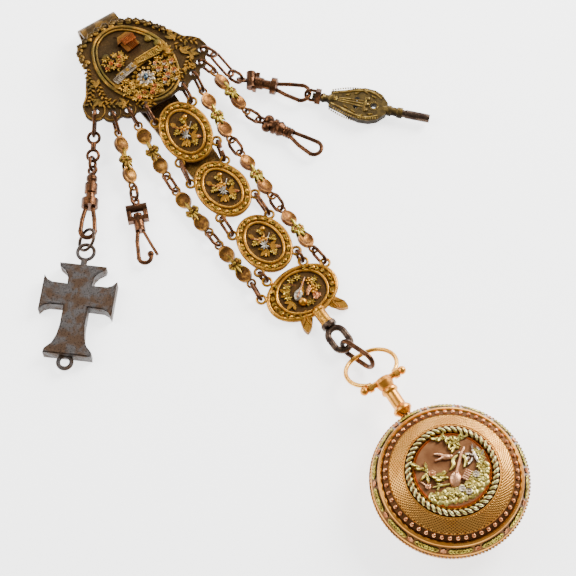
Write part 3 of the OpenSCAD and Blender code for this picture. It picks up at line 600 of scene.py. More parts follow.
def plaque_gold():
    """Gilt relief of the scene: railing, bushes, garden and the petals of the rosette."""
    bench = Bench(PLAQUE)
    rail = [(-0.5, 85.5), (7.4, 85.9)]
    foot = [(-0.6, 84.0), (7.0, 83.6)]
    for line, height in ((rail, 1.75), (foot, 1.6)):
        bench.wire([(x, y, height) for x, y in line], 0.2)
    balusters = 13
    for i in range(balusters):
        x = -0.2 + 0.58 * i
        bench.add(BAR, (x, 84.75 + 0.01 * i, 1.35), 88, (1.5, 0.24, 0.4))
    bench.wire([(-9.0, 93.4, 0.1), (-6.1, 91.2, 0.1)], 0.1)
    bench.wire([(-1.1, 96.4, 0.1), (1.2, 94.6, 0.4), (4.6, 95.2, 0.3)], 0.12)

    def leaves(i, x, y, turn):
        if i % 3:
            bench.tuft((x, y, 0.55 + 0.1 * (i % 2)), 0.9 + 0.1 * (i % 3), 5, turn, 1.6)
        else:
            bench.leaf((x, y, 0.6), turn, 1.3, 0.9, 1.6, up=14)
            bench.leaf((x, y, 0.6), turn + 70, 1.1, 0.9, 1.6, up=14)

    bench.cluster((-5.4, 88.6), (4.0, 2.6), 17, PLAQUE_BARE, leaves)
    bench.cluster((4.8, 78.2), (4.4, 5.0), 34, PLAQUE_BARE, leaves)
    bench.cluster((-2.4, 74.6), (4.6, 1.9), 18, PLAQUE_BARE, leaves)
    bench.cluster((-6.6, 79.0), (2.3, 2.6), 14, PLAQUE_BARE, leaves)
    for turn in range(-60, 121, 30):
        x, y = polar(0.4, turn)
        bench.leaf((8.0 + x, 83.4 + y, 0.9), turn + 12, 2.5, 0.9, 1.2, up=10)
    petals = 12
    for i in range(petals):
        turn = -40 + 22 * i
        x, y = polar(3.6, turn)
        bench.add(PETAL, (-0.8 + x * 0.86, 78.9 + y * 0.86, 0.7), turn, (1.1, 1.3, 1.2), up=-10)
    bench.add(BEAD, (-2.6, 76.7, 1.3), 0, (0.95, 0.8, 0.6))
    for i in range(7):
        x, y = polar(1.1, 51 * i)
        bench.add(PETAL, (-2.7 + 0.6 * x, 76.6 + 0.6 * y, 0.8), 51 * i, (0.8, 0.7, 0.8))
    bench.finish("plaque_gold_relief", finish_plaque_gold, "chains", "gilt")


def plaque_borders():
    """Leaf sprays on the side panels, their raised outer edges and the rims of the ring holes."""
    bench = Bench(PLAQUE)
    for points in (((-13.2, 91.4), (-14.4, 88.2), (-15.6, 84.6), (-17.6, 81.6), (-19.4, 80.4)),
                   ((-13.2, 85.8), (-13.9, 82.4), (-14.2, 79.4), (-12.4, 77.4)),
                   ((-16.6, 82.2), (-16.4, 79.8), (-14.6, 77.6), (-12.0, 75.9), (-8.8, 74.4)),
                   ((11.4, 92.6), (13.2, 88.8), (14.0, 85.6), (16.4, 83.6), (18.2, 81.6)),
                   ((12.3, 84.6), (13.4, 81.8), (15.0, 80.2), (16.4, 78.6)),
                   ((14.4, 78.8), (12.4, 77.0), (10.0, 75.0), (7.4, 74.0), (4.8, 72.4)),
                   ((-7.8, 73.2), (-5.0, 71.2), (-2.2, 71.0))):
        bench.vine([(x, y, 0.04) for x, y in points], 1.35, 0.75, 1.4)
    for x, y, turn, length in ((9.6, 74.2, 58, 2.6), (13.5, 76.8, 62, 2.4), (15.8, 77.4, 96, 1.8),
                               (14.6, 82.2, 60, 1.8), (-17.9, 79.9, 240, 1.6)):
        bench.leaf((x, y, 0.05), turn, length, 1.1, 1.3)
    bench.flower((12.6, 75.2, 0.15), 1.1, 6)
    for points in (((-19.9, 82.0), (-21.0, 80.4), (-21.1, 77.6), (-20.0, 75.4), (-18.2, 75.0)),
                   ((-14.0, 89.9), (-16.8, 85.7), (-17.9, 83.5), (-19.9, 82.0)),
                   ((13.0, 90.7), (14.7, 88.3), (15.9, 85.4), (17.7, 84.4), (19.6, 82.2), (19.9, 79.6))):
        bench.wire([(x, y, -0.02) for x, y in points], 0.3)
    for x, y, lobe in ((-18.4, 78.0, 2.7), (-14.7, 75.0, 2.5), (-10.3, 73.3, 2.2)):
        rim = [polar(lobe, turn) for turn in range(190, 351, 20)]
        bench.wire([(x + p, y + q, 0.0) for p, q in rim], 0.24)
    bench.finish("plaque_borders", finish_plaque, "chains", "gilt")


def plaque_crest():
    """Worn scrolls along the top edge."""
    bench = Bench(PLAQUE)
    crest = ((-12.9, 92.3), (-12.7, 94.4), (-12.2, 96.7), (-10.9, 98.6), (-8.8, 99.4), (-6.4, 100.2),
             (-3.9, 100.7), (-1.4, 100.8), (1.1, 100.3), (3.5, 99.6), (5.5, 98.7), (7.2, 97.4),
             (8.7, 95.9), (9.9, 94.3), (11.0, 92.4), (12.2, 90.5))
    for i, (x, y) in enumerate(crest):
        turn = math.degrees(math.atan2(y - OVAL_MIDDLE[1], x - OVAL_MIDDLE[0]))
        for side in (-1, 1):
            bench.add(PETAL, (x, y, 0.1), turn + 62 * side, (1.35, 1.5, 2.6), up=16)
        bench.add(PETAL, (x, y, 0.3), turn, (1.3, 1.3, 2.2), up=8)
        bench.add(BEAD, (x, y, 0.5), turn, (0.5, 0.7, 0.5))
    bench.finish("plaque_crest", finish_crest, "chains", "gilt")


def plaque_silver():
    """Silver relief: the steps with their two rails, small bushes and the inner rosette."""
    bench = Bench(PLAQUE)
    steps = 15
    for i in range(steps):
        share = i / (steps - 1)
        x, y = -1.5 - 7.3 * share, 84.2 - 1.95 * share
        bench.add(BAR, (x, y, 1.3), 106, (1.9, 0.34, 0.35))
    for side in (-1, 1):
        bench.wire([(-1.4 - 0.25 * side, 84.2 + 0.95 * side, 1.7),
                    (-8.8 - 0.25 * side, 82.3 + 0.95 * side, 1.6)], 0.14)
    bench.cluster((4.6, 78.0), (4.2, 4.6), 11, PLAQUE_BARE,
                  lambda i, x, y, turn: bench.tuft((x, y, 0.85), 0.75, 5, turn, 1.6))
    petals = 9
    for i in range(petals):
        x, y = polar(1.25, 40 * i)
        bench.add(PETAL, (-0.8 + x * 0.6, 78.8 + y * 0.6, 1.15), 40 * i, (1.9, 1.5, 1.5), up=2)
    bench.finish("plaque_silver_relief", finish_plaque_silver, "chains", "gilt")


def plaque_rose():
    """Copper relief: flowers, and the house in two rows of planks."""
    bench = Bench(PLAQUE)

    def blooms(i, x, y, turn):
        bench.flower((x, y, 0.95), 0.62 + 0.08 * (i % 3), 6, turn)

    bench.cluster((5.0, 78.6), (4.0, 4.2), 10, PLAQUE_BARE, blooms)
    bench.cluster((-5.2, 88.0), (3.4, 1.8), 5, PLAQUE_BARE, blooms)
    bench.cluster((-2.0, 74.6), (4.0, 1.2), 5, PLAQUE_BARE, blooms)
    for i in range(10):
        bench.add(BAR, (0.0 + 0.42 * i, 92.7 + 0.04 * i, 1.2), 96, (2.3, 0.2, 0.45))
    for i in range(5):
        bench.add(BAR, (1.2 + 0.5 * i, 90.5 + 0.1 * i, 0.95), 100, (2.2, 0.16, 0.42))
    bench.finish("plaque_rose_relief", finish_plaque_rose, "chains", "gilt")


def plaque_stone():
    """Dark oval setting in the middle of the rosette."""
    bench = Bench(placed((-0.8, 78.8, PLAQUE_TOP + 1.6)))
    bench.add(BEAD, (0, 0, 0.35), 56, (1.3, 0.72, 0.6))
    stone = Finish("dark_setting", Metallic=0.7)
    here = stone.here()
    patches = stone.noise(here, 1.2, 3.0).step(0.35, 0.65)
    stone.set("Base Color", stone.mix(patches, tone(28, 38, 48), tone(78, 92, 98)))
    stone.set("Roughness", 0.22 + 0.2 * patches)
    bench.finish("plaque_setting", stone, "chains", "steel")


plaque_gold()
plaque_borders()
plaque_crest()
plaque_silver()
plaque_rose()
plaque_stone()


# Medallions


def garland(bench, half_width, half_height, count, height, length):
    """Oval garland of leaves in pairs, each with a berry, and a flower after every third pair."""
    for i in range(count):
        x, y, heading = on_oval(half_width, half_height, 360 * i / count)
        if i % 4 == 3:
            bench.flower((x, y, height + 0.2), 0.55, 5, heading)
            continue
        for side in (-1, 1):
            bench.leaf((x, y, height), heading + 26 * side, length, 0.9, 1.4, up=4)
        bench.bead((x, y, height + 0.2), 0.22)


def medallion_trims(number, place):
    """Garland and garden trophy of an upper medallion, in three colours of metal."""
    green = Bench(place)
    garland(green, 6.05, 8.2, 32, 0.3, 1.3)
    for x, y, size, turn in ((1.0, 3.3, 1.0, 10), (2.8, -0.2, 0.95, 40), (-2.2, 1.0, 0.95, 70),
                             (0.7, -4.0, 1.0, 20)):
        for j in range(3):
            a, b = polar(0.6, 120 * j + turn)
            green.tuft((x + a, y + b, 0.35 + 0.1 * j), size * 0.8, 6, turn + 25 * number + 20 * j, 1.6)
    green.finish("medallion_%d_green_gold" % number, finish_garland, "chains", "gilt")
    silver = Bench(place)
    for turn in (30, 62, 100, 135, 190, 225, 262, 300):
        silver.leaf((-0.4, -1.0, 0.5), turn, 1.7, 0.7, 1.5, up=10)
    silver.wire([(2.8, 1.8, 0.45), (0.2, -0.7, 0.75), (-1.4, -2.6, 0.45)], 0.13)
    silver.finish("medallion_%d_silver" % number, finish_silver, "chains", "gilt")
    rose = Bench(place)
    rose.wire([(-2.6, 3.2, 0.4), (-0.6, 1.0, 0.8), (0.9, -0.6, 0.9)], 0.12)
    rose.leaf((1.6, -2.6, 0.3), -35, 1.7, 1.4, 1.2, up=6)
    rose.finish("medallion_%d_rose" % number, finish_rose, "chains", "gilt")


for number, (point, tilt) in MEDALLIONS.items():
    medallion_trims(number, tilted(point, tilt))


def lowest_garland():
    """Bushes round the lute, and a border of leaves at either side."""
    green = Bench(placed(LOWEST))
    for x, y, size in ((1.2, 4.4, 1.2), (-0.8, 4.5, 1.2), (-2.9, 3.4, 1.3), (-3.9, 2.1, 1.3),
                       (-4.3, 0.5, 1.2), (4.9, 1.4, 1.1), (4.4, -0.9, 1.1), (-0.8, -3.4, 1.2),
                       (0.5, -3.9, 1.1), (4.0, 0.8, 0.9)):
        green.tuft((x, y, 0.3), size, 6, 47 * x, 1.3)
    for side in (0, 180):
        for i in range(9):
            x, y, heading = on_oval(8.7, 6.7, side - 56 + 14 * i)
            for way in (-1, 1):
                green.leaf((x, y, 0.55), heading + 26 * way, 1.3, 0.9, 1.4, up=6)
    green.finish("lowest_green_gold", finish_garland, "chains", "gilt")


def lowest_lute():
    """Silver lute with its neck."""
    silver = Bench(placed(LOWEST))
    lute = between((-3.0, -1.6, 0.75), (0.2, 1.4, 0.75))
    silver.keep(LUTE.data.copy(), lute @ Matrix.Diagonal((1.75, 1.75, 1.3, 1.0)))
    silver.wire([(-0.2, 0.8, 1.0), (3.0, 3.2, 1.0)], 0.26, 0.7)
    silver.finish("lowest_silver_lute", finish_silver, "chains", "gilt")


def lowest_trims():
    """Stand, flowers, and the strings of the lute."""
    rose = Bench(placed(LOWEST))
    stand = ((1.2, -0.6), (1.8, -0.2), (2.4, 0.2), (0.8, -1.4), (1.5, -1.0), (2.1, -0.6))
    for x, y in stand:
        rose.add(BAR, (x, y, 0.35), 34, (0.9, 0.6, 0.6))
    for x, y in ((2.2, -3.3), (2.6, -2.4), (3.2, -3.2)):
        rose.flower((x, y, 0.5), 0.75)
    for start, end in (((-2.8, 4.4, 0.6), (-0.5, 2.6, 0.9)), ((-2.5, -0.9, 1.5), (2.6, 2.9, 1.35)),
                       ((-2.3, -1.1, 1.5), (2.7, 2.8, 1.35))):
        rose.wire([start, end], 0.07)
    rose.finish("lowest_rose_trims", finish_rose, "chains", "gilt")


def lowest_acanthus():
    """Acanthus leaves over the two horns, with the flower between them."""
    gold = Bench(placed((0, 0, 0)))
    for x, y, turn in ((-4.3, -8.6, -118), (6.4, -8.4, -58)):
        gold.leaf((x - polar(4.6, turn)[0], y - polar(4.6, turn)[1], 1.0), turn, 6.2, 1.25, 0.5)
        for side in (-1, 1):
            gold.leaf((x - polar(2.4, turn)[0], y - polar(2.4, turn)[1], 1.6), turn + 20 * side, 3.4,
                      0.7, 1.0)
    gold.flower((0.4, -7.3, 1.6), 1.1, 7)
    gold.finish("lowest_acanthus", finish_lowest_edge, "chains", "gilt")


finish_lowest_edge = worn_metal(
    "acanthus_gilt", tone(176, 122, 46), tone(122, 84, 34), BROWN, roughness=0.3, patch=0.4, dirt=0.7)
lowest_garland()
lowest_lute()
lowest_trims()
lowest_acanthus()


# Leaf links


def link_trims(name, a, b, roll):
    """Gold leaves and berries over the knot of a leaf link, greener in the right chains."""
    in_right_chains = name[0] in "67"
    bench = Bench(between(a, b, roll))
    for side in (-1, 1):
        turn = 90 - 90 * side
        for spread in (-22, 0, 22):
            bench.leaf((0.5 * side, 0.02 * spread, 0.45), turn + spread, 2.7 - 0.03 * abs(spread), 0.8,
                       1.0, up=4)
            bench.leaf((0.5 * side, 0.02 * spread, -0.62), turn + spread, 2.4, 0.8, 0.4)
    for x, y, z in ((-0.7, 1.2, 0.35), (0.7, 1.3, 0.35), (-0.6, -1.3, 0.35), (0.7, -1.2, 0.35),
                    (0, 0, 0.75), (0, 1.6, 0.3), (0, -1.6, 0.3)):
        bench.bead((x, y, z), 0.58)
    slot = "pale_gilt" if in_right_chains else "old_gilt"
    finish = finish_green if in_right_chains else finish_left_knot
    bench.finish("leaf_link_%s_knot" % name, finish, "chains", slot)


finish_left_knot = worn_metal(
    "left_knot_gilt", tone(144, 116, 44), tone(104, 78, 32), BROWN, roughness=0.32, patch=0.6, dirt=0.7)
for name, (a, b, roll) in LEAF_LINKS.items():
    link_trims(name, a, b, roll)


# Watch: radii from the middle of its back and heights above its rim

EDGE_RADIUS = 20.5
EDGE_HEIGHT = 7.3
BAND_RADIUS = 19.55
BAND_HEIGHT = 10.25
BAND_LEAN = 58
BEADS_RADIUS = 16.8
BEADS_HEIGHT = 12.62
TURNED_INNER = 12.55
TURNED_OUTER = 15.9
TURNED_LINES = 48
TURNED_ROWS = 4.8
ROPE_RADIUS = 11.1
ROPE_HEIGHT = 15.38
ROPE_LAY = 40
SCENE_RADIUS = 9.9
SCENE_FOOT = 15.3
SCENE_GROUND = 15.58
SCENE = WATCH @ Matrix.Translation((0, 0, SCENE_GROUND))


def watch_edge():
    """Milled band round the widest part of the case."""
    bench = Bench(WATCH)
    teeth = 132
    for i in range(teeth):
        turn = 360 * i / teeth
        x, y = polar(EDGE_RADIUS, turn)
        bench.add(BAR, (x, y, EDGE_HEIGHT), turn, (0.5, 0.56, 1.3), roll=24)
    bench.finish("watch_milled_edge", finish_edge, "watch", "rose_gold")


def on_band(turn):
    """Frame on the sloping band of the case, with Z out of its face."""
    return (placed((*polar(BAND_RADIUS, turn), BAND_HEIGHT), turn)
            @ Matrix.Rotation(math.radians(BAND_LEAN), 4, "Y"))


def watch_band():
    """Leaf sprays and rosettes on the sloping band."""
    green = Bench(WATCH)
    rose = Bench(WATCH)
    groups = 14
    petals = 6
    leaf_size = Matrix.Diagonal((1.25, 1.1, 1.2, 1.0))
    for i in range(groups):
        turn = 360 * i / groups
        for j in range(petals):
            spin = Matrix.Rotation(TURN * j / petals, 4, "Z")
            rose.keep(PETAL.data.copy(), on_band(turn) @ spin @ Matrix.Diagonal((0.8, 0.8, 0.8, 1.0)))
        for side in (-1, 1):
            for j in range(4):
                place = on_band(turn + side * (3.6 + 2.5 * j))
                for spread in (-32, 32):
                    way = Matrix.Rotation(math.radians(90 * side + spread), 4, "Z")
                    green.keep(LEAF.data.copy(), place @ way @ leaf_size)
    green.finish("watch_band_leaves", finish_green, "watch", "rose_gold")
    rose.finish("watch_band_rosettes", finish_rose, "watch", "rose_gold")


def watch_beads():
    """Ring of beads in the groove of the back."""
    bench = Bench(WATCH)
    beads = 52
    for i in range(beads):
        x, y = polar(BEADS_RADIUS, 360 * i / beads)
        bench.add(BEAD, (x, y, BEADS_HEIGHT), 0, (0.6, 0.6, 0.58))
    bench.finish("watch_beads", finish_beads, "watch", "rose_gold")


def watch_rope():
    """Rope of twisted strands round the middle scene."""
    bench = Bench(WATCH)
    strands = 46
    for i in range(strands):
        turn = 360 * i / strands
        x, y = polar(ROPE_RADIUS, turn)
        bench.add(BEAD, (x, y, ROPE_HEIGHT), turn + 90 - ROPE_LAY, (1.25, 0.5, 0.7))
    bench.finish("watch_rope", finish_rope, "watch", "rose_gold")


def seat_on_back(piece, finish):
    """Puts a piece that was made about the origin on the back of the watch."""
    piece.data.transform(WATCH)
    piece.data.transform(TO_ROW)
    piece.data.materials.append(finish.material)
    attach(piece, "watch")


def engine_turning():
    """Ring cut with two crossing sets of fine waves."""
    deselect()
    around, across = 864, 30
    bpy.ops.mesh.primitive_grid_add(x_subdivisions=around, y_subdivisions=across, size=1)
    piece = settle("watch_engine_turning")
    inner_height, outer_height = 14.92, 13.0
    ridge, border, border_depth = 0.16, 0.02, 0.06
    for vertex in piece.data.vertices:
        turn = (vertex.co.x + 0.5) * TURN
        share = vertex.co.y + 0.5
        radius = TURNED_INNER + (TURNED_OUTER - TURNED_INNER) * share
        waves, rows = TURNED_LINES * turn, TURNED_ROWS * radius
        lines = min(abs(math.sin(waves + rows)), abs(math.sin(waves - rows)))
        cut = ridge - ridge * lines if min(share, 1 - share) > border else -border_depth
        height = inner_height + (outer_height - inner_height) * share + cut
        vertex.co = (radius * math.cos(turn), radius * math.sin(turn), height)
    edit("VERT")
    bpy.ops.mesh.remove_doubles(threshold=0.0005)
    bpy.ops.mesh.extrude_region_move(TRANSFORM_OT_translate={"value": (0, 0, -0.2)})
    bpy.ops.mesh.select_all(action="SELECT")
    bpy.ops.mesh.normals_make_consistent(inside=False)
    leave_edit()
    bpy.ops.object.shade_smooth()
    seat_on_back(piece, finish_turned)


def watch_ground():
    """Matt copper ground of the middle scene with its thin raised edge."""
    deselect()
    bpy.ops.mesh.primitive_circle_add(vertices=96, radius=SCENE_RADIUS, fill_type="NGON")
    piece = settle("watch_scene_ground")
    edit()
    bpy.ops.transform.translate(value=(0, 0, SCENE_FOOT))
    bpy.ops.mesh.extrude_region_move(TRANSFORM_OT_translate={"value": (0, 0, 0.42)})
    bpy.ops.mesh.inset(thickness=0.3, depth=0)
    bpy.ops.mesh.inset(thickness=0.1, depth=-0.14)
    bpy.ops.mesh.select_all(action="SELECT")
    bpy.ops.mesh.normals_make_consistent(inside=False)
    leave_edit()
    bpy.ops.object.shade_smooth_by_angle(angle=math.radians(30))
    seat_on_back(piece, finish_ground)


def scene_greenery():
    """Green gold of the garden trophy: mound, branches, leaves and flowers."""
    green = Bench(SCENE)
    mound = ((-8.0, -3.6), (-6.2, -4.2), (-4.4, -4.2), (-2.6, -4.9), (-0.9, -5.3), (0.8, -5.9),
             (2.6, -6.2), (4.6, -5.8), (6.3, -4.9), (7.7, -3.5), (-6.4, -5.6), (-4.2, -6.4),
             (-1.6, -7.3), (1.2, -7.7), (3.6, -7.3), (5.6, -6.4))
    for i, (x, y) in enumerate(mound):
        for j in range(3):
            a, b = polar(0.75, GOLDEN_TURN * i + 120 * j)
            green.add(BEAD, (x + a, y + b, 0), 61 * i + 50 * j, (1.15, 0.75, 0.4 + 0.12 * ((i + j) % 3)))
        green.leaf((x, y, 0.4), 77 * i, 1.0, 0.9, 1.6, up=10)
    for x, y, turn in ((-7.6, -3.4, 160), (7.4, -1.8, 60), (8.2, -0.8, 70), (6.4, -2.6, 50),
                       (8.4, 0.2, 80), (7.8, 1.2, 100), (6.6, -3.8, 20), (5.2, -4.6, 200)):
        green.tuft((x, y, 0.3), 1.05, 6, turn, 1.2)
    branch = ((1.1, 9.0), (2.4, 8.7), (3.2, 8.0), (4.2, 7.4), (3.3, 6.2), (4.8, 5.6), (6.9, 6.0),
              (5.7, 6.0), (4.3, 4.5), (3.6, 4.7))
    for i, (x, y) in enumerate(branch):
        green.leaf((x, y, 0.1), 150 + 47 * i, 1.7, 1.2, 2.0, up=8)
        green.leaf((x, y, 0.1), -20 + 61 * i, 1.5, 1.2, 2.0, up=8)
        green.add(BEAD, (x, y, 0.2), 61 * i, (0.75, 0.55, 0.4))
    green.wire([(1.3, 8.8, 0.2), (3.4, 7.8, 0.3), (4.2, 6.2, 0.3), (4.5, 4.6, 0.2)], 0.14)
    green.wire([(4.3, 6.0, 0.3), (5.6, 6.0, 0.3), (7.0, 6.1, 0.2)], 0.13)
    for points in (((3.4, 2.6, 0.3), (1.9, 2.5, 0.4), (1.2, 1.7, 0.4), (0.9, 0.6, 0.4),
                    (-0.6, 0.3, 0.3)),
                   ((4.0, 2.3, 0.3), (4.6, 1.3, 0.4), (4.2, 0.0, 0.4), (3.0, -0.9, 0.3))):
        green.wire(points, 0.55, 0.5)
    green.add(BEAD, (-2.4, 0.5, 0.2), 30, (0.85, 0.55, 0.4))
    green.wire([(-2.6, -2.8, 0.3), (-4.6, -2.0, 0.4), (-6.8, -1.3, 0.3)], 0.3, 0.7)
    green.wire([(-4.4, -2.0, 0.3), (-5.4, -0.9, 0.3)], 0.24)
    green.wire([(-5.0, -1.8, 0.3), (-6.2, -2.5, 0.3)], 0.24)
    for x, y, turn in ((-4.2, 0.0, 140), (-3.5, -0.8, 160), (-2.5, -0.9, 150), (-7.1, 5.3, 125),
                       (-6.3, 4.1, 150), (-5.6, 3.4, 70), (-6.6, 2.4, 200), (-6.4, 1.9, 250),
                       (-4.5, 1.0, -20), (-3.6, 0.4, -10)):
        green.leaf((x, y, 0.1), turn, 2.0, 1.15, 2.0, up=8)
        green.add(BEAD, (x, y, 0.2), turn, (0.7, 0.5, 0.4))
    green.wire([(-7.0, 5.1, 0.2), (-5.9, 3.3, 0.3), (-5.6, 1.9, 0.3), (-3.6, 0.5, 0.2)], 0.15)
    green.flower((1.5, -5.4, 0.55), 1.25, 7)
    for x, y in ((-2.1, -5.6), (-3.5, -5.1), (2.6, -4.6), (3.4, -3.4)):
        green.flower((x, y, 0.5), 0.9, 5, 30 * x)
    green.finish("watch_scene_green_gold", finish_scene_green, "watch", "rose_gold")


def scene_trophy():
    """Rose gold of the garden trophy: lute, bird, basket and two blooms."""
    rose = Bench(SCENE)
    lute = between((-1.9, -3.9, 0.45), (0.7, -0.7, 0.45))
    rose.keep(LUTE.data.copy(), lute @ Matrix.Diagonal((2.1, 2.25, 1.9, 1.0)))
    rose.wire([(0.2, -1.2, 1.0), (3.0, 1.3, 0.9), (4.7, 2.9, 0.85)], 0.38, 0.85)
    rose.wire([(4.6, 2.8, 0.85), (5.3, 3.0, 0.75), (5.8, 3.5, 0.5)], 0.3)
    for shift in (-0.14, 0.14):
        rose.wire([(-1.3 + shift, -3.1 - shift, 1.14), (4.5 + shift, 2.8 - shift, 1.1)], 0.05)
    for x, y, size in ((-5.0, 1.8, 1.0), (-7.7, -0.5, 0.8)):
        rose.flower((x, y, 0.4), size, 6)
        rose.bead((x, y, 0.6), size * 0.5)
    rose.wire([(-8.6, 1.8, 0.2), (-8.2, 0.5, 0.3), (-7.8, -0.3, 0.3)], 0.18)
    for wing in (((-1.7, 5.9, 0.25), (-0.7, 5.3, 0.4), (0.2, 4.3, 0.5)),
                 ((-2.4, 4.3, 0.25), (-1.3, 3.9, 0.4), (0.0, 4.0, 0.5))):
        rose.wire(wing, 0.52, 0.45)
    rose.add(BEAD, (0.5, 3.7, 0.4), -30, (1.4, 0.8, 0.55))
    rose.add(BEAD, (1.6, 3.2, 0.45), -20, (0.65, 0.58, 0.5))
    rose.leaf((1.7, 3.1, 0.35), -18, 0.6, 0.6, 1.0)
    basket = between((0.9, -3.9, 0.5), (3.6, -2.2, 0.5))
    rose.keep(BAR.data.copy(), basket @ Matrix.Diagonal((2.8, 1.5, 0.6, 1.0)))
    for i in range(5):
        x = -1.2 + 0.6 * i
        rose.keep(BAR.data.copy(), basket @ Matrix.Translation((x, 0, 0.45))
                  @ Matrix.Diagonal((0.22, 1.7, 0.4, 1.0)))
    rose.finish("watch_scene_rose_gold", finish_scene_rose, "watch", "rose_gold")


def scene_silver():
    """Silver of the garden trophy: a branch with leaves, and flowers on the mound."""
    silver = Bench(SCENE)
    silver.wire([(7.5, 2.5, 0.2), (7.0, 0.8, 0.4), (6.7, -2.0, 0.3)], 0.62, 0.5)
    silver.wire([(6.9, 0.3, 0.3), (6.0, 1.4, 0.3), (5.1, 2.0, 0.2)], 0.32)
    for x, y, turn in ((6.3, 1.3, 160), (5.6, 0.7, 190), (5.4, -0.4, 200), (7.2, 1.9, 60),
                       (8.8, 0.6, 100), (8.2, -0.5, 30), (6.2, 0.2, 220), (4.9, 2.4, 150)):
        silver.leaf((x, y, 0.15), turn, 1.6, 1.1, 1.9, up=8)
    for x, y in ((-0.7, -5.4), (0.4, -6.9), (4.4, -4.0)):
        silver.flower((x, y, 0.5), 0.95, 6, 40 * x)
    silver.finish("watch_scene_silver", finish_scene_silver, "watch", "rose_gold")


def case_finish():
    """Warm gold, with painted shade in the groove of the beads, under the rope, behind the band and in the
    milling.
    """
    finish = Finish("watch_rose_gold", Metallic=1.0)
    here = finish.here(WATCH)
    x, y, z = finish.parts(here)
    radius = x.away(y)
    patches = finish.noise(here, 0.12, 4.0, 0.3).step(0.38, 0.66)
    fine = finish.noise(here, 5.0, 5.0)
    # Masks of painted shade: the groove of the beads, under the rope, behind the band and in the milling
    groove = (1.0 - (radius - 16.85).size().step(0.72, 0.95)) * z.step(10.5, 11.5)
    rope = (1.0 - (radius - 11.1).size().step(0.85, 1.1)) * z.step(13.0, 14.0)
    band = (1.0 - (radius - 19.45).size().step(0.6, 0.85)) * z.step(8.6, 9.0)
    milled = radius.step(20.3, 20.42) * (1.0 - radius.step(20.7, 20.8))
    colour = finish.mix(patches, tone(218, 152, 66), tone(192, 126, 50))
    colour = finish.mix(fine.step(0.55, 0.75) * 0.3, colour, tone(126, 76, 34))
    # Painted shade in the groove, under the rope and in the milling; darker painted shade behind the band
    colour = finish.mix(groove.most(rope).most(milled) * 0.95, colour, tone(70, 44, 28))
    colour = finish.mix(band * 0.92, colour, tone(40, 24, 12))
    finish.set("Base Color", colour)
    finish.set("Roughness", 0.2 + 0.12 * patches + 0.25 * groove + 0.08 * fine)
    finish.bump(fine, 0.012)
    return finish


finish_case = case_finish()
finish_beads = worn_metal(
    "bead_rose_gold", tone(214, 148, 100), tone(168, 104, 64), BROWN, roughness=0.2, patch=0.2, dirt=0.4)
finish_edge = worn_metal(
    "milled_gold", tone(166, 112, 46), tone(118, 78, 34), BROWN, roughness=0.28, patch=0.3, dirt=0.6)
finish_scene_rose = worn_metal(
    "scene_rose_gold", tone(228, 172, 132), tone(196, 136, 96), BROWN,
    roughness=0.26, patch=0.6, dirt=0.4)
finish_scene_silver = worn_metal(
    "scene_silver", tone(204, 188, 168), tone(160, 142, 122), BROWN, roughness=0.26, patch=0.6, dirt=0.4)
finish_bow = worn_metal(
    "bow_gold", tone(226, 166, 74), tone(202, 140, 54), tone(110, 66, 28),
    roughness=0.16, patch=0.2, dirt=0.35)
finish_rope = worn_metal(
    "rope_green_silver", tone(214, 206, 144), tone(176, 162, 94), BROWN,
    roughness=0.24, patch=0.5, dirt=0.4)
finish_scene_green = worn_metal(
    "scene_green_gold", tone(212, 196, 112), tone(170, 148, 70), BROWN,
    roughness=0.26, patch=0.7, dirt=0.4)


def turned_finish():
    """Engine turning: bright crossing ridges round diamond hollows that are darkened with painted shade.
    """
    finish = Finish("engine_turned_gold", Metallic=1.0)
    here = finish.here(WATCH)
    x, y, _ = finish.parts(here)
    waves = y.angle(x) * TURNED_LINES
    rows = x.away(y) * TURNED_ROWS
    lines = (waves + rows).sine().size().least((waves - rows).sine().size())
    # Painted shade in the low diamonds between the crossing ridges
    cut_shade = lines.step(0.3, 0.62)
    patches = finish.noise(here, 0.2, 4.0, 0.3).step(0.4, 0.65)
    colour = finish.mix(patches, tone(226, 162, 78), tone(206, 140, 62))
    colour = finish.mix(cut_shade * 0.85, colour, tone(84, 50, 22))
    finish.set("Base Color", colour)
    finish.set("Roughness", 0.22 + 0.12 * patches + 0.2 * cut_shade)
    return finish


finish_turned = turned_finish()


def ground_finish():
    """Matted copper: fine punched grain."""
    finish = Finish("matted_copper", Metallic=1.0)
    here = finish.here(WATCH)
    x, y, _ = finish.parts(here)
    radius = x.away(y)
    grain = finish.cells(here, 4.5)
    patches = finish.noise(here, 0.25, 4.0).step(0.35, 0.65)
    edge = radius.step(9.3, 9.5)
    colour = finish.mix(patches, tone(132, 90, 58), tone(108, 70, 44))
    colour = finish.mix(edge, colour, tone(176, 86, 32))
    finish.set("Base Color", colour)
    finish.set("Roughness", 0.5 - 0.25 * edge)
    finish.bump(grain, 0.03, 0.8)
    return finish


finish_ground = ground_finish()
watch_edge()
watch_band()
watch_beads()
watch_rope()
engine_turning()
watch_ground()
scene_greenery()
scene_trophy()
scene_silver()


# Key


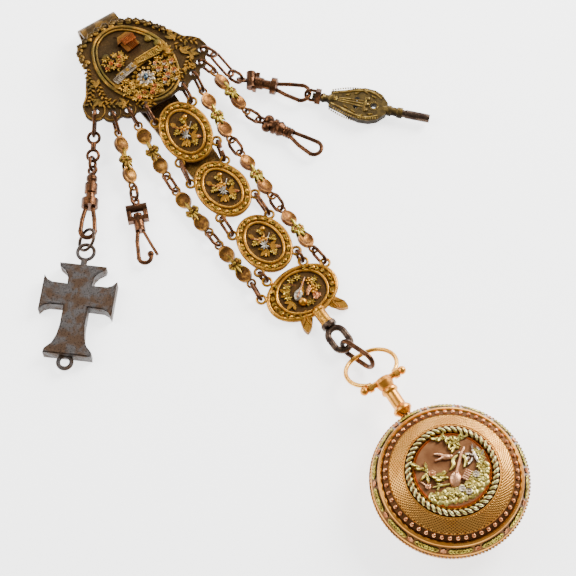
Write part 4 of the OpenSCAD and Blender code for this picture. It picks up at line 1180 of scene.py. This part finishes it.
def key_trims():
    """Scrolls, ribs and beads cast on both faces of the key's bow."""
    bench = Bench(KEY)
    for face in (-1, 1):
        for side in (-1, 1):
            bench.wire([(2.6, 1.7 * side, 0.9 * face), (5.4, 2.6 * side, 1.0 * face),
                        (8.4, 3.7 * side, 1.0 * face), (11.6, 4.5 * side, 1.0 * face),
                        (14.4, 4.3 * side, 1.0 * face), (16.6, 2.9 * side, 1.0 * face)], 0.34, 0.6)
            for x, y, turn in ((6.2, 1.7, 24), (8.6, 2.6, 30), (12.6, 3.5, 150), (15.2, 2.6, 160)):
                bench.leaf((x, y * side, 0.85 * face), turn * side, 1.7, 0.8, 1.2 * face)
        for y in (-0.75, 0, 0.75):
            bench.wire([(4.6, 0.7 * y, 0.9 * face), (8.0, y, 1.05 * face), (11.8, 1.3 * y, 1.0 * face)],
                       0.2)
        bench.add(BAR, (12.3, 0, 0.8 * face), 90, (4.6, 0.5, 0.35 * face))
        bench.flower((3.4, 0, 0.95 * face), 0.9 * face, 6)
        ring_beads = 14
        for i in range(ring_beads):
            x, y = polar(1.25, 360 * i / ring_beads)
            bench.add(BEAD, (14.9 + x, y, 1.0 * face), 0, 0.22)
        edge_beads = 22
        for side in (-1, 1):
            for i in range(edge_beads):
                share = i / (edge_beads - 1)
                x = 2.4 + 14.4 * share
                y = 2.3 + 2.9 * math.sin(math.pi * (0.08 + 0.72 * share)) - 0.35
                bench.add(BEAD, (x, y * side, 1.0 * face), 0, 0.27)
    bench.finish("key_scrolls", finish_key, "key", "pale_gilt")


finish_key = worn_metal(
    "key_brass", tone(156, 128, 66), tone(110, 86, 44), tone(34, 28, 20),
    roughness=0.28, patch=0.6, dirt=0.8)
# Painted shade in the hollows of the key's head, by height
finish_key_ground = relief_metal(
    "key_brass_ground", tone(126, 102, 54), tone(84, 68, 38), tone(36, 30, 22), KEY,
    low=0.4, high=1.5, roughness=0.3, patch=0.6, dirt=0.8)
key_trims()


# Finishes of the solids


def dress(finish, *names):
    """Gives solids their finish."""
    for name in names:
        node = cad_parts[name]
        node.data.materials.clear()
        node.data.materials.append(finish.material)


crystal = Finish("watch_glass", Roughness=0.03, Transmission_Weight=1.0, IOR=1.5)
crystal.set("Base Color", (0.97, 0.98, 0.97, 1.0))
enamel = Finish("white_enamel", Roughness=0.18, Coat_Weight=0.5)
enamel_here = enamel.here(WATCH)
enamel_patches = enamel.noise(enamel_here, 0.3, 4.0).step(0.4, 0.7)
enamel.set("Base Color", enamel.mix(enamel_patches, tone(240, 238, 230), tone(228, 224, 212)))

dress(finish_plaque, "plaque")
dress(finish_old, "belt_hook")
for number, (point, tilt) in MEDALLIONS.items():
    dress(medallion_finish("medallion_%d_gilt" % number, tilted(point, tilt), (5.0, 7.1)),
          "medallion_%d" % number)
dress(medallion_finish("medallion_4_gilt", placed(LOWEST), (7.3, 6.2)), "medallion_4")
dress(finish_left, "leaf_link_2", "leaf_link_3a", "leaf_link_3b", "leaf_link_3c")
dress(finish_right, "leaf_link_6a", "leaf_link_6b", "leaf_link_6c", "leaf_link_7")
dress(finish_key_ground, "key_head")
dress(finish_steel, "steel_ring", "key_pipe", "watch_hook")
dress(finish_cross, "cross")
dress(finish_case, "watch_case", "watch_bezel")
dress(finish_bow, "bow")
dress(crystal, "watch_crystal")
dress(enamel, "watch_dial")
BRONZE_NAMES = ("ring_", "swivel_", "hook_", "figure_", "long_", "key_bail", "bow_link")
dress(finish_bronze, *[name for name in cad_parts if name.startswith(BRONZE_NAMES)])

for model in MODELS:
    bpy.data.objects.remove(model)


# Floor, lights and camera

FLOOR_SIZE = 4.0
FLOOR_HEIGHT = -0.00002
PAPER = (0.86, 0.86, 0.85, 1.0)
PAPER_PALE = (0.88, 0.88, 0.87, 1.0)
PAPER_GLOW = 2.4
STUDIO_LIGHT = 0.45
WHITE = (1.0, 1.0, 1.0, 1.0)


def stage():
    """Pale paper a hair below the part."""
    deselect()
    bpy.ops.mesh.primitive_plane_add(size=FLOOR_SIZE, location=(0, 0, FLOOR_HEIGHT))
    floor = bpy.context.object
    floor.name = "floor"
    paper = Finish("pale_paper", Roughness=0.9, Emission_Color=WHITE, Emission_Strength=PAPER_GLOW)
    here = paper.here()
    grain = paper.noise(here, 0.8, 3.0)
    paper.set("Base Color", paper.mix(grain, PAPER, PAPER_PALE))
    floor.data.materials.append(paper.material)


def lamp(name, right, ahead, up, size, power):
    """Flat lamp turned to the point that the camera looks at, its place in mm from there."""
    place = TO_ROW @ (LOOK_AT + RIGHT * right + AHEAD * ahead + UP * up)
    data = bpy.data.lights.new(name, "AREA")
    data.shape = "RECTANGLE"
    data.size, data.size_y = size
    data.energy = power
    light = bpy.data.objects.new(name, data)
    bpy.context.collection.objects.link(light)
    light.location = place
    light.rotation_euler = (TO_ROW @ LOOK_AT - place).to_track_quat("-Z", "Y").to_euler()


def view():
    """The camera, looking down at the chatelaine as in the photograph."""
    data = bpy.data.cameras.new("camera")
    data.lens = LENS
    data.clip_start = 0.01
    camera = bpy.data.objects.new("camera", data)
    bpy.context.collection.objects.link(camera)
    back = CAMERA_DISTANCE * math.cos(CAMERA_UP)
    camera.location = TO_ROW @ (LOOK_AT - AHEAD * back + UP * CAMERA_DISTANCE * math.sin(CAMERA_UP))
    camera.rotation_euler = (TO_ROW @ LOOK_AT - camera.location).to_track_quat("-Z", "Y").to_euler()
    bpy.context.scene.camera = camera


stage()
lamp("key_light", 400, 330, 360, (0.35, 0.35), 9.0)
lamp("fill_light", -340, 60, 320, (0.3, 0.4), 2.0)
lamp("back_light", -40, 480, 200, (0.5, 0.15), 1.8)
world = bpy.data.worlds.new("studio")
world.use_nodes = True
world.node_tree.nodes["Background"].inputs["Color"].default_value = WHITE
world.node_tree.nodes["Background"].inputs["Strength"].default_value = STUDIO_LIGHT
bpy.context.scene.world = world
view()
